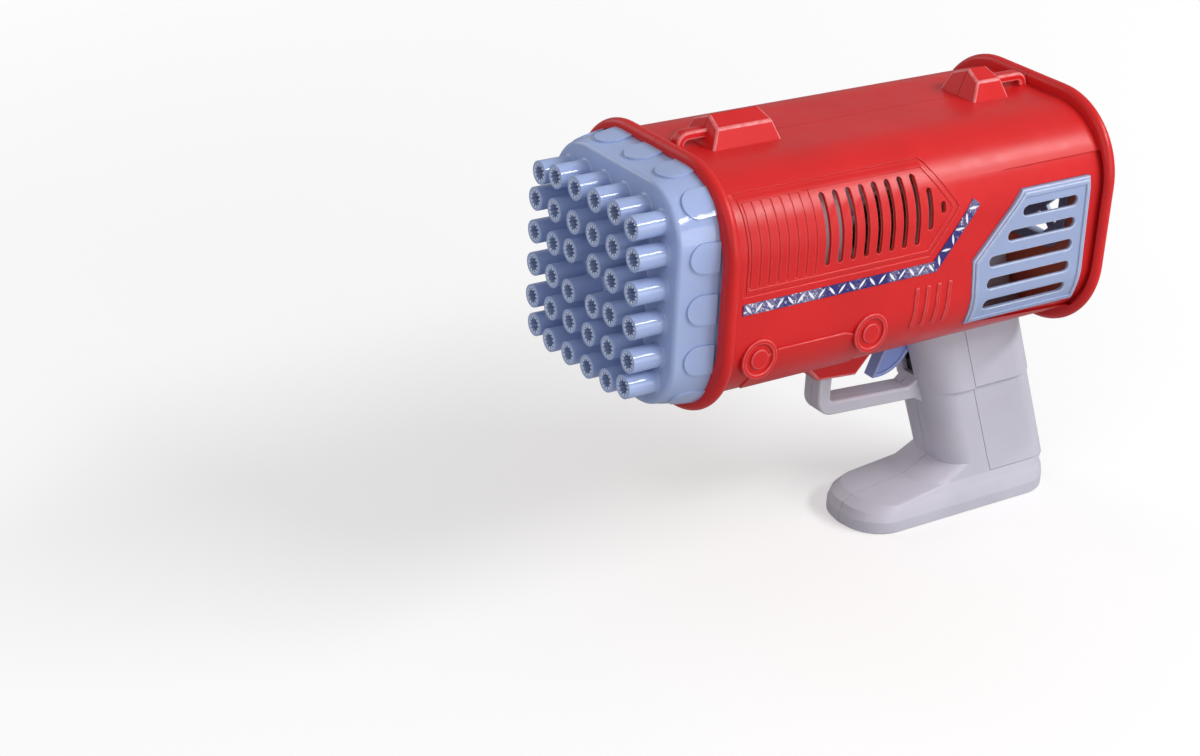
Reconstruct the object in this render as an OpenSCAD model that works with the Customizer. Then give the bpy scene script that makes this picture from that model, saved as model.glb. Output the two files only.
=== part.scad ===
// Battery bubble blower: a barrel of two moulded halves, a head of ribbed nozzles, a raked pistol grip
// with a trigger guard, and a small blower that pushes air through the head.
// Drawn with x = 0 at the nozzle tips and z = 0 on the barrel's axis, then set down on the grip's foot.

/* [Barrel] */
// Distance between the centre lines of the two end rims
body_len = 172; // [165:1:190]
// Width of the barrel across its flat sides
body_w = 93; // [92:0.5:98]
// Height of the barrel between its flat top and bottom
body_h = 85; // [82:0.5:90]
// Corner radius of the barrel
body_corner_r = 28; // [25:0.5:30]
// Wall of the moulded housing
wall = 2; // [1.6:0.1:2.4]
// Thickness of the rounded end rims
rim_d = 5; // [4.5:0.25:6]
// How far the rims stand out beyond the sides
rim_side = 3; // [2.5:0.25:4]
// How far the rims stand out above the top and below the bottom
rim_rise = 4.7; // [4.5:0.1:5.5]
// Depth of the recess in the rear end
rear_recess = 4.5; // [3:0.25:4.75]
// Gap that shows as the parting line between two moulded halves
seam_gap = 0.2; // [0.1:0.05:0.3]
// Gap between pieces that are fitted together
fit_gap = 0.25; // [0.2:0.05:0.3]

/* [Nozzle head] */
// Nozzles along each side of the square field
nozzle_rows = 6; // [4:2:6]
// Distance between neighbouring nozzles
nozzle_pitch = 12.5; // [11.5:0.1:12.8]
// Length of a nozzle in front of the plate
nozzle_len = 12.5; // [9:0.5:16]
// Outer diameter of a nozzle
nozzle_d = 8.7; // [8:0.1:9.2]
// Diameter of the air hole in a nozzle
nozzle_bore = 6.2; // [5.4:0.1:6.6]
// Ribs inside a nozzle's tip
rib_count = 11; // [6:1:12]
// Height of a rib
rib_h = 0.8; // [0.5:0.1:1]
// Width of a rib
rib_w = 0.7; // [0.5:0.1:0.8]
// Length of the ribs from the tip
rib_len = 5; // [3:0.5:7]
// Radius of the rounded root where a nozzle meets the plate
root_r = 0.9; // [0.5:0.1:1]
// How far the corner nozzles are drawn in
corner_draw = 2; // [1:0.25:2.5]
// How far the middle four nozzles are spread from the centre
middle_spread = 1.4; // [1:0.1:1.8]
// Distance from the plate's front to the centre of the front rim
head_reach = 17.7; // [16:0.1:20]
// Width of the head where it meets the rim
head_w = 84.6; // [83:0.2:86]
// How far the head's top and bottom lie inside the rim's centre line
head_set = 1.3; // [1.2:0.1:2.2]
// Corner radius of the head where it meets the rim
head_corner_r = 23; // [22:0.5:25]
// How much the skirt narrows towards the front, on each side
head_taper = 2; // [1.6:0.1:2.6]
// Radius of the rounded front edge of the head
head_edge_r = 1.8; // [1.2:0.1:2.4]
// Wall of the head
head_wall = 2; // [1.6:0.1:2.4]
// Width of a raised tongue on the skirt
tongue_w = 11; // [9:0.5:12]
// Length of a raised tongue in front of the rim
tongue_len = 11; // [9:0.5:12]
// Height of a raised tongue
tongue_rise = 0.8; // [0.6:0.1:1]

/* [Side panel] */
// Start of the arrow panel behind the front rim's centre line
panel_start = 5.8; // [5:0.2:8]
// Length of the arrow panel up to its shoulders
panel_len = 82; // [78:0.5:84]
// Length of the arrow's point
panel_point = 12.4; // [9:0.2:14]
// Lower edge of the panel above the axis
panel_low = 3.5; // [3:0.1:5]
// Upper edge of the panel above the axis
panel_high = 37; // [35:0.2:37.6]
// Depth of the recess
panel_depth = 0.7; // [0.4:0.1:0.9]
// Width of the panel's raised border
border_w = 1.2; // [0.8:0.1:1.6]
// Fine grooves at the front of the panel
groove_count = 8; // [4:1:8]
// Distance between the fine grooves
groove_pitch = 4; // [3:0.1:4.1]
// Full-height air slots in the panel
slot_count = 8; // [5:1:8]
// Distance between the air slots
slot_pitch = 5.75; // [5:0.05:5.8]
// Width of an air slot
slot_w = 2.2; // [1.6:0.1:2.6]
// Length of a full-height air slot
slot_len = 24.4; // [20:0.2:25]

/* [Printed strip] */
// Width of the strip
strip_w = 4.1; // [3:0.1:4.6]
// Height of the strip's middle line above the axis
strip_z = -1.15; // [-2.5:0.05:-1]
// Length of the strip's level leg
strip_len = 85; // [80:0.5:87]
// Length of the strip's rising leg
strip_leg = 28; // [22:0.5:29]
// Angle of the rising leg
strip_angle = 52; // [48:1:56]
// Thickness of the strip
strip_t = 0.3; // [0.2:0.05:0.4]

/* [Vent panels] */
// Upper edge of the panel above the axis
vent_high = 21.6; // [19:0.2:23]
// Lower edge of the panel below the axis
vent_low = 29.8; // [28:0.2:31]
// Distance from the panel's rear edge to the rear rim's centre line
vent_back = 6.5; // [6:0.1:8]
// Length of the panel along its lower edge
vent_len = 54; // [50:0.5:55]
// Width of the land that hides the panel's fixing lip
vent_lip = 2; // [1.5:0.1:2.5]
// How far the panel stands out from the barrel
vent_proud = 0.6; // [0.3:0.1:1]
// Air slots in a vent panel
vent_slots = 5; // [3:1:5]
// Distance between the vent slots
vent_pitch = 8.8; // [8:0.1:9]
// Height of a vent slot
vent_slot_h = 4.2; // [3:0.1:5]

/* [Rear grille] */
// Width of the window in the rear wall
grille_w = 62; // [56:0.5:66]
// Height of the window in the rear wall
grille_h = 44; // [38:0.5:45]
// Distance between the lattice's bars
grille_pitch = 12; // [10:0.5:14]
// Width of a lattice bar
grille_bar = 4.4; // [3:0.1:5]

/* [Top blocks] */
// Width of a block where it meets the barrel
block_w = 19.4; // [16:0.2:22]
// Height of a block at its ridge
block_h = 9.8; // [8:0.2:11]
// Length of the front block at its foot
front_block_len = 29.5; // [24:0.5:34]
// Length of the rear block at its foot
rear_block_len = 17; // [14:0.5:20]
// Thickness of a strap loop
loop_t = 3.2; // [2.5:0.1:3.6]
// Width of a strap loop
loop_w = 5; // [4:0.25:7]

/* [Grip] */
// Distance from the rear rim's centre line to the grip's axis at the barrel
grip_set = 29; // [27:0.5:32]
// Backward lean of the grip
grip_rake = 20; // [16:0.5:22]
// Drop from the barrel to the foot's sole
grip_len = 88; // [86:0.5:96]
// Depth of the grip, square to its axis
grip_d = 50; // [49:0.5:54]
// Width of the grip
grip_w = 30; // [30:0.5:34]
// Corner radius of the grip
grip_r = 10.5; // [8:0.5:12]
// How far the upper grip swells beyond the lower one
swell = 1.8; // [1:0.1:2.4]
// Drop from the barrel to the lower edge of the swell
swell_drop = 33; // [30:0.5:36]
// Height of the neck inside the barrel
neck_rise = 23.5; // [20:0.5:25]
// Length of the foot
foot_len = 100; // [96:0.5:106]
// Width of the foot
foot_w = 37; // [36:0.5:42]
// Reach of the heel behind the grip's axis at the sole
foot_heel = 22.8; // [22:0.2:26]
// Height of the foot's upright edge
foot_edge = 5; // [4:0.5:7]

/* [Guard and nose] */
// Half the width of the trigger guard
guard_half_w = 5; // [4:0.25:6]
// Thickness of the trigger guard
guard_t = 6; // [5:0.25:7]
// Reach of the guard's front in front of the grip's axis
guard_reach = 65.2; // [62:0.2:67]
// Drop from the barrel to the guard's underside
guard_drop = 35.5; // [34:0.25:38]
// Drop from the barrel to the nose's flat underside
nose_drop = 18; // [16:0.25:19]
// Half the width of the nose
nose_half_w = 8; // [7:0.25:10]

/* [Trigger] */
// Width of the trigger blade
trigger_w = 5.8; // [5.4:0.1:8]
// Diameter of the trigger's pivot pin
pin_d = 3; // [2:0.25:3.5]
// Distance of the pivot in front of the grip's axis
pivot_reach = 34.7; // [34:0.1:36]
// Height of the pivot above the barrel's underside
pivot_rise = 7; // [6.5:0.1:8]
// Drop from the barrel to the trigger's tip
trigger_drop = 25.2; // [22:0.2:26]
// Wire diameter of the return spring
spring_wire = 0.6; // [0.4:0.05:0.7]
// Outer diameter of the return spring
spring_d = 5; // [4:0.25:5.5]
// Turns of the return spring
spring_turns = 6; // [4:1:7]

/* [Blower] */
// Outer radius of the blower case
blower_r = 27; // [25:0.25:27.5]
// Width of the blower case
blower_w = 34; // [32:0.5:35]
// Distance of the blower's axis in front of the grip's axis
blower_reach = 55; // [52:0.5:57]
// Height of the blower's outlet
outlet_h = 20; // [16:0.5:22]
// Radius of the air intake
intake_r = 14; // [11:0.5:15]
// Diameter of the impeller
impeller_d = 44; // [40:0.5:45]
// Blades of the impeller
blade_count = 14; // [10:1:18]
// Diameter of the motor can
motor_d = 20; // [18:0.5:21]
// Width of the motor across its flats
motor_flat = 15; // [14:0.5:16]
// Length of the motor can
motor_len = 25; // [22:0.5:25]
// Diameter of the motor shaft
shaft_d = 2; // [1.5:0.1:2.5]

/* [Power] */
// Diameter of a battery
cell_d = 14; // [13.5:0.1:14.2]
// Length of a battery without its nub
cell_len = 49; // [47:0.25:49.5]
// Batteries in the row
cell_count = 3; // [2:1:3]
// Thickness of the contact plates
contact_t = 0.5; // [0.3:0.1:0.6]

/* [Fasteners] */
// Diameter of a housing screw
screw_d = 2.6; // [2.2:0.1:3]
// Diameter of a housing screw's head
screw_head_d = 5.4; // [4.8:0.1:5.6]
// Outer diameter of a screw boss
boss_d = 8.4; // [8:0.1:8.8]

/* [Hidden] */
$fn = 64;

// Colours of the moulded pieces
red = [0.80, 0.10, 0.11];
light_blue = [0.52, 0.60, 0.82];
pale_grey = [0.72, 0.71, 0.75];
dark_grey = [0.30, 0.30, 0.33];
steel = [0.70, 0.71, 0.73];

// Long enough to cut through anything, and a small overlap that joins two shapes
far = 300;
bite = 0.5;

// Stations along the barrel
x_plate = nozzle_len;
x_front = x_plate + head_reach;
x_rear = x_front + body_len;
x_back_wall = x_rear + rim_d / 2 - rear_recess;
x_grip = x_rear - grip_set;
z_under = -body_h / 2;
z_sole = z_under - grip_len;
x_heel = x_grip + grip_len * tan(grip_rake) + foot_heel;
x_toe = x_heel - foot_len;
x_mid = x_heel / 2;

// End rims: half sizes and corner radius of the rounded edge's centre line
rim_half_w = body_w / 2 + rim_side - rim_d / 2;
rim_half_h = body_h / 2 + rim_rise - rim_d / 2;
rim_r = body_corner_r + rim_side - rim_d / 2 + 0.4;

// Height of the head, and its fixing flange, held in a groove of the front rim
head_h = 2 * (rim_half_h - head_set);
flange_out = min(2.2, rim_half_h - head_h / 2 - fit_gap);
flange_t = 1.6;

// Arrow panel
panel_x = x_front + panel_start;
panel_mid = (panel_low + panel_high) / 2;
panel_points = [
    [panel_x, panel_low], [panel_x + panel_len, panel_low],
    [panel_x + panel_len + panel_point, panel_mid],
    [panel_x + panel_len, panel_high], [panel_x, panel_high]
];
slot_x = panel_x + 35.6;
groove_x = panel_x + 2;

// Low bars between the strip and the barrel's underside
bar_count = 4;
bar_start = 83;
bar_pitch = 5.1;
bar_w = 1.8;
bar_low = 24.6;
bar_len = 16.6;

// Rear side: step above the vent panel, and the panel's outline
step_depth = 0.8;
vent_x = x_rear - vent_back;
vent_slant = 21.3;
vent_foot = 2.6;
vent_knee = -2.9;
vent_points = [
    [vent_x - vent_len, -vent_low], [vent_x, -vent_low], [vent_x - 1.7, vent_high],
    [vent_x - vent_len + vent_slant - vent_foot, vent_high], [vent_x - vent_len - vent_foot, vent_knee]
];
vent_rib_w = 1.6;
vent_rib_h = 0.7;
vent_rib_in = 1.2;
vent_t = 1.7;
vent_wall = 1.8;
vent_slot_start = [6, 5.8, 5.6, 13.4, 19.4];
vent_slot_end = 7.8;

// Rear grille: its frame, and the lips that hold it on both faces of the rear wall
grille_mid = 8;
grille_r = 9;
grille_frame = 2.2;
grille_lip = 2;
grille_lip_t = 1.2;
grille_in = x_back_wall - wall - fit_gap;
grille_out = x_back_wall + fit_gap;

// Top blocks
front_block_x = x_front + 16.3;
rear_block_x = x_rear - 19.8 - rear_block_len;
block_shoulder = 0.7;
block_draft = 0.42;

// Nose under the barrel: reach of its front, its flat and its tail in front of the grip's axis
nose_reach = 86;
nose_flat = 50.4;
nose_tail = 33;
nose_fall = 1.4;
x_nose_flat = x_grip - guard_reach - 3.6;
x_nose_turn = x_grip - nose_flat;

// Screws that close the barrel, as [x, z]
boss_in = 30;
boss_mid = 98;
boss_back = 14;
boss_low_mid = 82;
boss_z = body_h / 2 - wall - boss_d / 2 + bite;
boss_spots = [
    [x_front + boss_in, boss_z], [x_front + boss_mid, boss_z], [x_rear - boss_back, boss_z],
    [x_front + boss_in, -boss_z], [x_front + boss_low_mid, -boss_z]
];
screw_len = 24;
screw_head_h = 2;
screw_seat = 20;

// Blower
x_blower = x_grip - blower_reach;
z_blower = boss_z - boss_d / 2 - 0.8 - blower_r;
blower_wall = 1.6;
lug_r = 3.2;
lug_t = 4;
lug_screw_d = 2;
lug_screw_len = 7.5;
lug_head_d = 4.4;
lug_head_h = 1.6;
lug_angles = [-150, -62, 8];
post_angles = [-128, -50, 42];
post_r = 2.6;
post_ring = blower_r - 4.4;
impeller_gap = 1.2;
impeller_w = blower_w - 2 * blower_wall - 2 * impeller_gap;
hub_r = 4;
blade_t = 1;
blade_arc_r = 9;
disc_t = 1.4;
shaft_gap = 0.05;
motor_y = blower_w / 2 + 0.6;
motor_wall_gap = 1.9;
y_blower = body_w / 2 - wall - motor_wall_gap - motor_len - motor_y;
motor_cup = 9;
motor_cup_t = 1.6;

// Air plenum between the blower and the head
plenum_t = 1.2;
sleeve_w = head_w - 2 * head_wall - 2 * fit_gap - 2.4;
sleeve_h = min(head_h - 2 * head_wall - 2 * fit_gap - 2.4, body_h - 2 * wall - 1);
sleeve_r = head_corner_r - head_wall - fit_gap - 1.2;
x_sleeve = x_front - 8;
x_plenum = x_front + 4;
plenum_w = body_w - 2 * wall - 17;
plenum_h = 2 * (boss_z - boss_d / 2 - 1.8);
plenum_r = 16;
outlet_top = plenum_h / 2 - plenum_t - 2 * fit_gap;
outlet_low = outlet_top - outlet_h;
x_outlet = x_blower - blower_r - 6;
x_plenum_end = x_outlet + 3;

// Lamp behind the middle of the head
lamp_d = 5;
lamp_post_r = 4.4;
lamp_post_len = 4;
board_t = 1.6;
board_r = 6;

// Grip: the guard's fall and flare, the battery bay, the cover over its rear and the trigger slot
guard_fall = 2.3;
guard_flare = 2.6;
swell_deep = 0.25;
bay_d = grip_d - 2 * wall;
bay_w = grip_w - 2 * wall;
bay_r = grip_r - wall;
cover_seam = -6.8;
z_cover_top = z_under - rim_rise - 2 * fit_gap;
trigger_gap = 0.4;
neck_lip = 2.5;
neck_lip_t = 2;
neck_chamfer = 11;
x_neck_rear = x_back_wall - wall - 2 * fit_gap;

// Trigger pivot and its travel, and the switch behind the blade
x_pivot = x_grip - pivot_reach;
z_pivot = z_under + pivot_rise;
hub_trigger_r = pin_d / 2 + 2.5;
pin_reach = 11;
blade_depth = 15;
blade_drop = 17.5;
blade_shoulder = 12;
blade_lean = 5.6;
blade_border = 1.5;
blade_hollow = 0.8;
belly_r = 16;
switch_drop = 7.5;
pin_boss_r = pin_d / 2 + 2;
pin_len = trigger_w + pin_reach;
x_blade_front = x_pivot - 2.8;
x_belly = x_blade_front + 2.9;
x_blade_rear = x_pivot + blade_depth;
z_tip = z_under - trigger_drop;
z_switch = z_under - switch_drop;
z_blade_high = z_switch + 2;
z_blade_low = z_under - blade_drop;
switch_size = [7, 6, 6];
x_switch = x_blade_rear + 3.2;
button_d = 2.6;
button_out = 3.1;
button_in = 3;
button_travel = 2.4;

// Return spring, square to the blade's rear edge
z_spring = z_blade_low + spring_d / 2 + 0.4;
spring_len = 9.2;
x_spring = x_blade_rear + 0.1;
spring_seat_t = 2;

// Battery row in the grip's own frame, whose z runs up the grip's axis
cell_gap = 0.3;
cell_pitch = cell_d + cell_gap;
nub_h = 1.2;
nub_d = 5.5;
tray_t = 1.6;
tray_wall = 1.4;
seat_corner = [x_spring + spring_len + 0.1 + spring_seat_t - x_grip, z_spring - spring_d / 2 - 1 - z_under];
tray_room = 2.2;
tray_top = seat_corner[1] * cos(grip_rake) - seat_corner[0] * sin(grip_rake) - tray_room;
tray_len = 2 * tray_t + 2 * contact_t + cell_len + nub_h + 0.4;
tray_d = bay_d - 2 * fit_gap;
tray_w = bay_w - 2 * fit_gap;
row_end = 0.7;
cell_step = min(cell_pitch, (tray_d - tray_wall - 2 * row_end - cell_d) / (cell_count - 1));
stagger = sqrt(max(0, cell_pitch * cell_pitch - cell_step * cell_step));
channel_w = cell_d + stagger + 2 * cell_gap;

// Floor of the bay just under the tray's lowest corner, and the cover's lower edge above it
z_floor = z_under - tray_d / 2 * sin(grip_rake) + (tray_top - tray_len) * cos(grip_rake) - fit_gap;
cover_lip = 1.5;
z_cover_low = z_floor + cover_lip;

// Screw of the battery cover
cover_screw_z = z_cover_low + 4;
x_cover_lug = x_grip + (z_under - cover_screw_z) * tan(grip_rake) + 8;
cover_lug_len = 7;
cover_screw_len = 16;

// Screws that close the grip, as [x, z]
grip_screw_spots = [[x_toe + 13, z_sole + 5.5], [x_heel - 13, z_sole + 5.5], [x_pivot + 15, z_under + 15]];
grip_screw_len = 15;
grip_screw_seat = 6.5;

echo(x_mid = x_mid, z_axis = -z_sole, pivot = [x_pivot - x_mid, z_pivot - z_sole],
     blower = [x_blower - x_mid, z_blower - z_sole],
     switch = [x_switch - x_mid, z_switch - z_sole], spring = [x_spring - x_mid, z_spring - z_sole]);

// Sets the drawing down: foot on the ground, middle of the length at the origin
module set_down() {
    translate([-x_mid, 0, -z_sole]) children();
}

// The same for the blower's pieces, which are drawn about the blower's own middle
module blower_down() {
    set_down() translate([0, y_blower, 0]) children();
}

// Rounded rectangle about the origin
module rounded(w, h, r) {
    square([w - 2 * r, h], center = true);
    square([w, h - 2 * r], center = true);
    for (sx = [-1, 1], sy = [-1, 1]) translate([sx * (w / 2 - r), sy * (h / 2 - r)]) circle(r);
}

// Rounded-end slot, drawn to the right of the origin
module slot(len, h) {
    translate([h / 2, -h / 2]) square([len - h, h]);
    for (x = [h / 2, len - h / 2]) translate([x, 0]) circle(d = h);
}

// A yz outline run along x, and an xz outline run along y
module along_x(x0, x1) {
    translate([x0, 0, 0]) rotate([90, 0, 90]) linear_extrude(x1 - x0) children();
}
module along_y(y0, y1) {
    translate([0, y1, 0]) rotate([90, 0, 0]) linear_extrude(y1 - y0) children();
}

// A corner of a polygon moved inwards: where its two edges meet after both move by d
function unit(v) = v / norm(v);
function inner_corner(a, b, c, d) =
    let (u = unit(b - a), v = unit(c - b), s = u[0] * v[1] - u[1] * v[0])
    b + d * (v - u) / s;
function inset(points, d) =
    let (n = len(points))
    [for (i = [0 : n - 1]) inner_corner(points[(i + n - 1) % n], points[i], points[(i + 1) % n], d)];

// The barrel's outside grown by g, between two stations
module barrel(g, x0, x1) {
    along_x(x0, x1) rounded(body_w + 2 * g, body_h + 2 * g, body_corner_r + g);
}

// The layer of the barrel's wall between two depths, only on the left side
module left_layer(g0, g1) {
    intersection() {
        difference() {
            barrel(g1, x_front, x_rear);
            barrel(g0, x_front - 1, x_rear + 1);
        }
        translate([0, -far, -far / 2]) cube([far, far, far]);
    }
}

// The left side of the mid-plane, short of it by half the parting gap
module left_side() {
    translate([-far, -far, -far]) cube([3 * far, far - seam_gap / 2, 2 * far]);
}

// Round edge along a rounded rectangle, which lies square to x
module round_edge(half_w, half_h, r, d) {
    for (s = [-1, 1]) {
        translate([0, s * half_w, r - half_h]) cylinder(d = d, h = 2 * (half_h - r));
        translate([0, r - half_w, s * half_h]) rotate([-90, 0, 0]) cylinder(d = d, h = 2 * (half_w - r));
    }
    for (turn = [0 : 3]) {
        sy = turn == 0 || turn == 3 ? 1 : -1;
        sz = turn < 2 ? 1 : -1;
        translate([0, sy * (half_w - r), sz * (half_h - r)]) rotate([90 * turn, 0, 0]) rotate([90, 0, 90])
            rotate_extrude(angle = 90) translate([r, 0]) circle(d = d);
    }
}

module rim(x) {
    along_x(x - rim_d / 2, x + rim_d / 2) rounded(2 * rim_half_w, 2 * rim_half_h, rim_r);
    translate([x, 0, 0]) round_edge(rim_half_w, rim_half_h, rim_r, rim_d);
}

// Roofed block on top of the barrel, with all its sides drawn in
module top_block(x, len) {
    half = block_w / 2;
    intersection() {
        along_x(x, x + len)
            polygon([
                [-half, body_h / 2 - bite], [half, body_h / 2 - bite], [half, body_h / 2],
                [half * 0.75, body_h / 2 + block_h * block_shoulder], [0, body_h / 2 + block_h],
                [-half * 0.75, body_h / 2 + block_h * block_shoulder], [-half, body_h / 2]
            ]);
        along_y(-half, half)
            polygon([
                [x, body_h / 2 - bite], [x + len, body_h / 2 - bite], [x + len, body_h / 2],
                [x + len - block_draft * block_h, body_h / 2 + block_h],
                [x + block_draft * block_h, body_h / 2 + block_h], [x, body_h / 2]
            ]);
    }
}

// Strap loop from a block at x to a landing on the barrel's top; dir is -1 forwards, 1 backwards
module strap_loop(x, reach, dir) {
    top = body_h / 2 + 5.6;
    bend = 5;
    along_y(-loop_w / 2, loop_w / 2) translate([x, 0]) mirror([dir < 0 ? 1 : 0, 0]) {
        translate([-4, top - loop_t]) square([reach - bend + 4, loop_t]);
        translate([reach - bend, top - bend]) intersection() {
            difference() {
                circle(bend);
                circle(bend - loop_t);
            }
            square(bend);
        }
        translate([reach - loop_t, body_h / 2 - bite]) square([loop_t, top - bend - body_h / 2 + bite]);
    }
}

// Underside of the nose, which falls a little towards the rear
function nose_low(x) =
    z_under - nose_drop + nose_fall * (0.5 - (x - x_nose_flat) / (x_nose_turn - x_nose_flat));

// Nose under the barrel that carries the guard's front and hides the trigger's top
module nose(t) {
    nose_front = x_grip - nose_reach;
    tail = x_grip - nose_tail;
    along_y(t - nose_half_w, nose_half_w - t)
        polygon([
            [nose_front + 1.5 * t, z_under + bite + t], [x_nose_flat + t, nose_low(x_nose_flat) + t],
            [x_nose_turn - 0.4 * t, nose_low(x_nose_turn) + t], [tail - 1.4 * t, z_under + bite + t]
        ]);
}

// Raised dress of the left side: two ringed bosses, the band between them and a set of bars
module left_dress() {
    boss_r = 7.5;
    boss_x = [x_front + 14.3, x_front + 63.6];
    boss_low = [-21, -21.4];
    dress_y = body_w / 2 + 1;
    band_high = -18.9;
    for (i = [0, 1]) translate([boss_x[i], 0, boss_low[i]]) difference() {
        along_y(-dress_y, -body_w / 2 + 4) circle(boss_r);
        along_y(-dress_y - 1, -dress_y + 0.9) difference() {
            circle(boss_r - 1.8);
            circle(boss_r - 3.8);
        }
    }
    intersection() {
        left_layer(-bite, 0.8);
        along_y(-far, 0)
            polygon([
                [boss_x[0], band_high - 3], [boss_x[0] + boss_r + 1, band_high],
                [boss_x[1] - boss_r - 4, band_high], [boss_x[1], band_high - 4],
                [boss_x[1], -far / 3], [boss_x[0], -far / 3]
            ]);
        along_y(-far, -body_w / 2 + 10) translate([x_front, -far / 2]) square([far, far]);
    }
    intersection() {
        left_layer(-bite, 0.6);
        for (i = [0 : bar_count - 1]) along_y(-far, 0)
            translate([x_front + bar_start + bar_pitch * i, -bar_low]) square([bar_w, bar_len]);
    }
}

// Cuts in the left side: arrow panel, grooves, slots, the step and the vent window
module left_cuts() {
    intersection() {
        left_layer(-panel_depth, 1);
        along_y(-far, 0) difference() {
            polygon(panel_points);
            difference() {
                polygon(inset(panel_points, border_w));
                polygon(inset(panel_points, 2 * border_w));
            }
        }
    }
    intersection() {
        left_layer(-panel_depth - 0.5, 1);
        for (i = [0 : groove_count - 1])
            along_y(-far, 0) translate([groove_x + i * groove_pitch, panel_low + 3])
                square([0.8, panel_high - panel_low - 6]);
    }
    for (i = [0 : slot_count + 1]) {
        short = max(0, i - slot_count + 1);
        len = slot_len - 9.3 * short - 0.4 * short * short;
        along_y(-far, -body_w / 2 + 18)
            translate([slot_x + i * slot_pitch, panel_mid + 0.5 - len / 2]) rotate(90) slot(len, slot_w);
    }
    intersection() {
        left_layer(-step_depth, 1);
        along_y(-far, 0)
            polygon([
                [x_rear, -vent_low - 6], [x_rear, 29.2], [x_rear - 48.8, 29.2], [x_rear - 54, 27.6],
                [x_rear - 59.4, 20.9], [x_rear - 73.5, 2.8], [vent_x - vent_len - vent_foot, vent_knee],
                [vent_x - vent_len, -vent_low]
            ]);
    }
    along_y(-far, -body_w / 2 + 14) polygon(vent_points);
}

// Posts and bosses inside the left half
module left_inside(open_side) {
    post_end = (open_side ? -1 : 1) * y_blower - blower_w / 2;
    intersection() {
        union() {
            for (p = boss_spots) translate([p[0], 0, p[1]]) along_y(-far / 2, -seam_gap / 2) circle(d = boss_d);
            for (a = post_angles)
                translate([x_blower + post_ring * cos(a), 0, z_blower + post_ring * sin(a)])
                    along_y(-far / 2, post_end) circle(post_r);
            translate([x_pivot, 0, z_pivot])
                along_y(-pin_len / 2, -trigger_w / 2 - trigger_gap) {
                    circle(pin_boss_r);
                    translate([-pin_boss_r, -pivot_rise]) square([2 * pin_boss_r, pivot_rise]);
                }
        }
        barrel(-bite, x_front, x_rear);
    }
}

// Holes for the screws of the barrel: pilot holes, or clearance with a deep seat for the head
module left_screw_holes(open_side) {
    for (p = boss_spots) translate([p[0], 0, p[1]]) {
        if (open_side) {
            along_y(-far, -screw_seat) circle(d = screw_head_d + 2 * fit_gap);
            along_y(-far, 1) circle(d = screw_d + 2 * shaft_gap);
        } else {
            along_y(-screw_len + screw_seat - 2, 1) circle(d = screw_d);
        }
    }
}

// One half of the barrel, drawn as the left one; open_side takes the screw heads
module housing_half(open_side) {
    difference() {
        union() {
            intersection() {
                difference() {
                    union() {
                        barrel(0, x_front, x_rear);
                        rim(x_front);
                        rim(x_rear);
                        top_block(front_block_x, front_block_len);
                        top_block(rear_block_x, rear_block_len);
                        strap_loop(front_block_x + 3, 13.5, -1);
                        strap_loop(rear_block_x + rear_block_len - 3, 18.5, 1);
                        nose(0);
                    }
                    barrel(-wall, x_front - rim_d, x_back_wall - wall);
                    barrel(-wall, x_back_wall, x_rear + rim_d);
                    nose(wall);
                    head_seat();
                    neck_hole();
                    trigger_slot();
                    grille_span(x_back_wall - wall - 1, x_back_wall + 1, 0);
                }
                left_side();
            }
            left_dress();
            left_inside(open_side);
        }
        left_cuts();
        left_screw_holes(open_side);
        translate([x_pivot, 0, z_pivot]) along_y(-pin_len / 2, 0) circle(d = pin_d + 2 * shaft_gap);
    }
}

// Room for the head in the front rim: the mouth, the flange's groove and the way to the plenum
module head_seat() {
    along_x(x_front - rim_d, x_front)
        rounded(head_w + 2 * fit_gap, head_h + 2 * fit_gap, head_corner_r + fit_gap);
    along_x(x_front - flange_t / 2 - 0.1, x_front + flange_t / 2 + 0.1)
        rounded(head_w + 2 * flange_out + 2 * fit_gap, head_h + 2 * flange_out + 2 * fit_gap,
            head_corner_r + flange_out + fit_gap);
}

module left_housing() {
    color(red) set_down() housing_half(false);
}
module right_housing() {
    color(red) set_down() mirror([0, 1, 0]) housing_half(true);
}

// Slotted panel in the window of the left side: a thin plate, a wall around it and a lip behind the housing
module vent_panel() {
    difference() {
        union() {
            intersection() {
                left_layer(-wall - bite, vent_proud);
                along_y(-far, 0) polygon(inset(vent_points, fit_gap));
            }
            intersection() {
                left_layer(0, vent_proud + vent_rib_h);
                along_y(-far, 0) difference() {
                    polygon(inset(vent_points, vent_rib_in));
                    polygon(inset(vent_points, vent_rib_in + vent_rib_w));
                }
            }
            intersection() {
                left_layer(-wall - 1.4, -wall - 0.05);
                along_y(-far, 0) polygon(inset(vent_points, -vent_lip));
            }
        }
        intersection() {
            left_layer(-wall - 3, vent_proud - vent_t);
            along_y(-far, 0) polygon(inset(vent_points, fit_gap + vent_wall));
        }
        for (i = [0 : vent_slots - 1]) {
            start = vent_x - vent_len + vent_slot_start[i];
            along_y(-far, 0)
                translate([start, -vent_low + 7.7 + i * vent_pitch])
                    slot(vent_x - vent_slot_end - start, vent_slot_h);
        }
    }
}
module left_vent_panel() {
    color(light_blue) set_down() vent_panel();
}
module right_vent_panel() {
    color(light_blue) set_down() mirror([0, 1, 0]) vent_panel();
}

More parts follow.
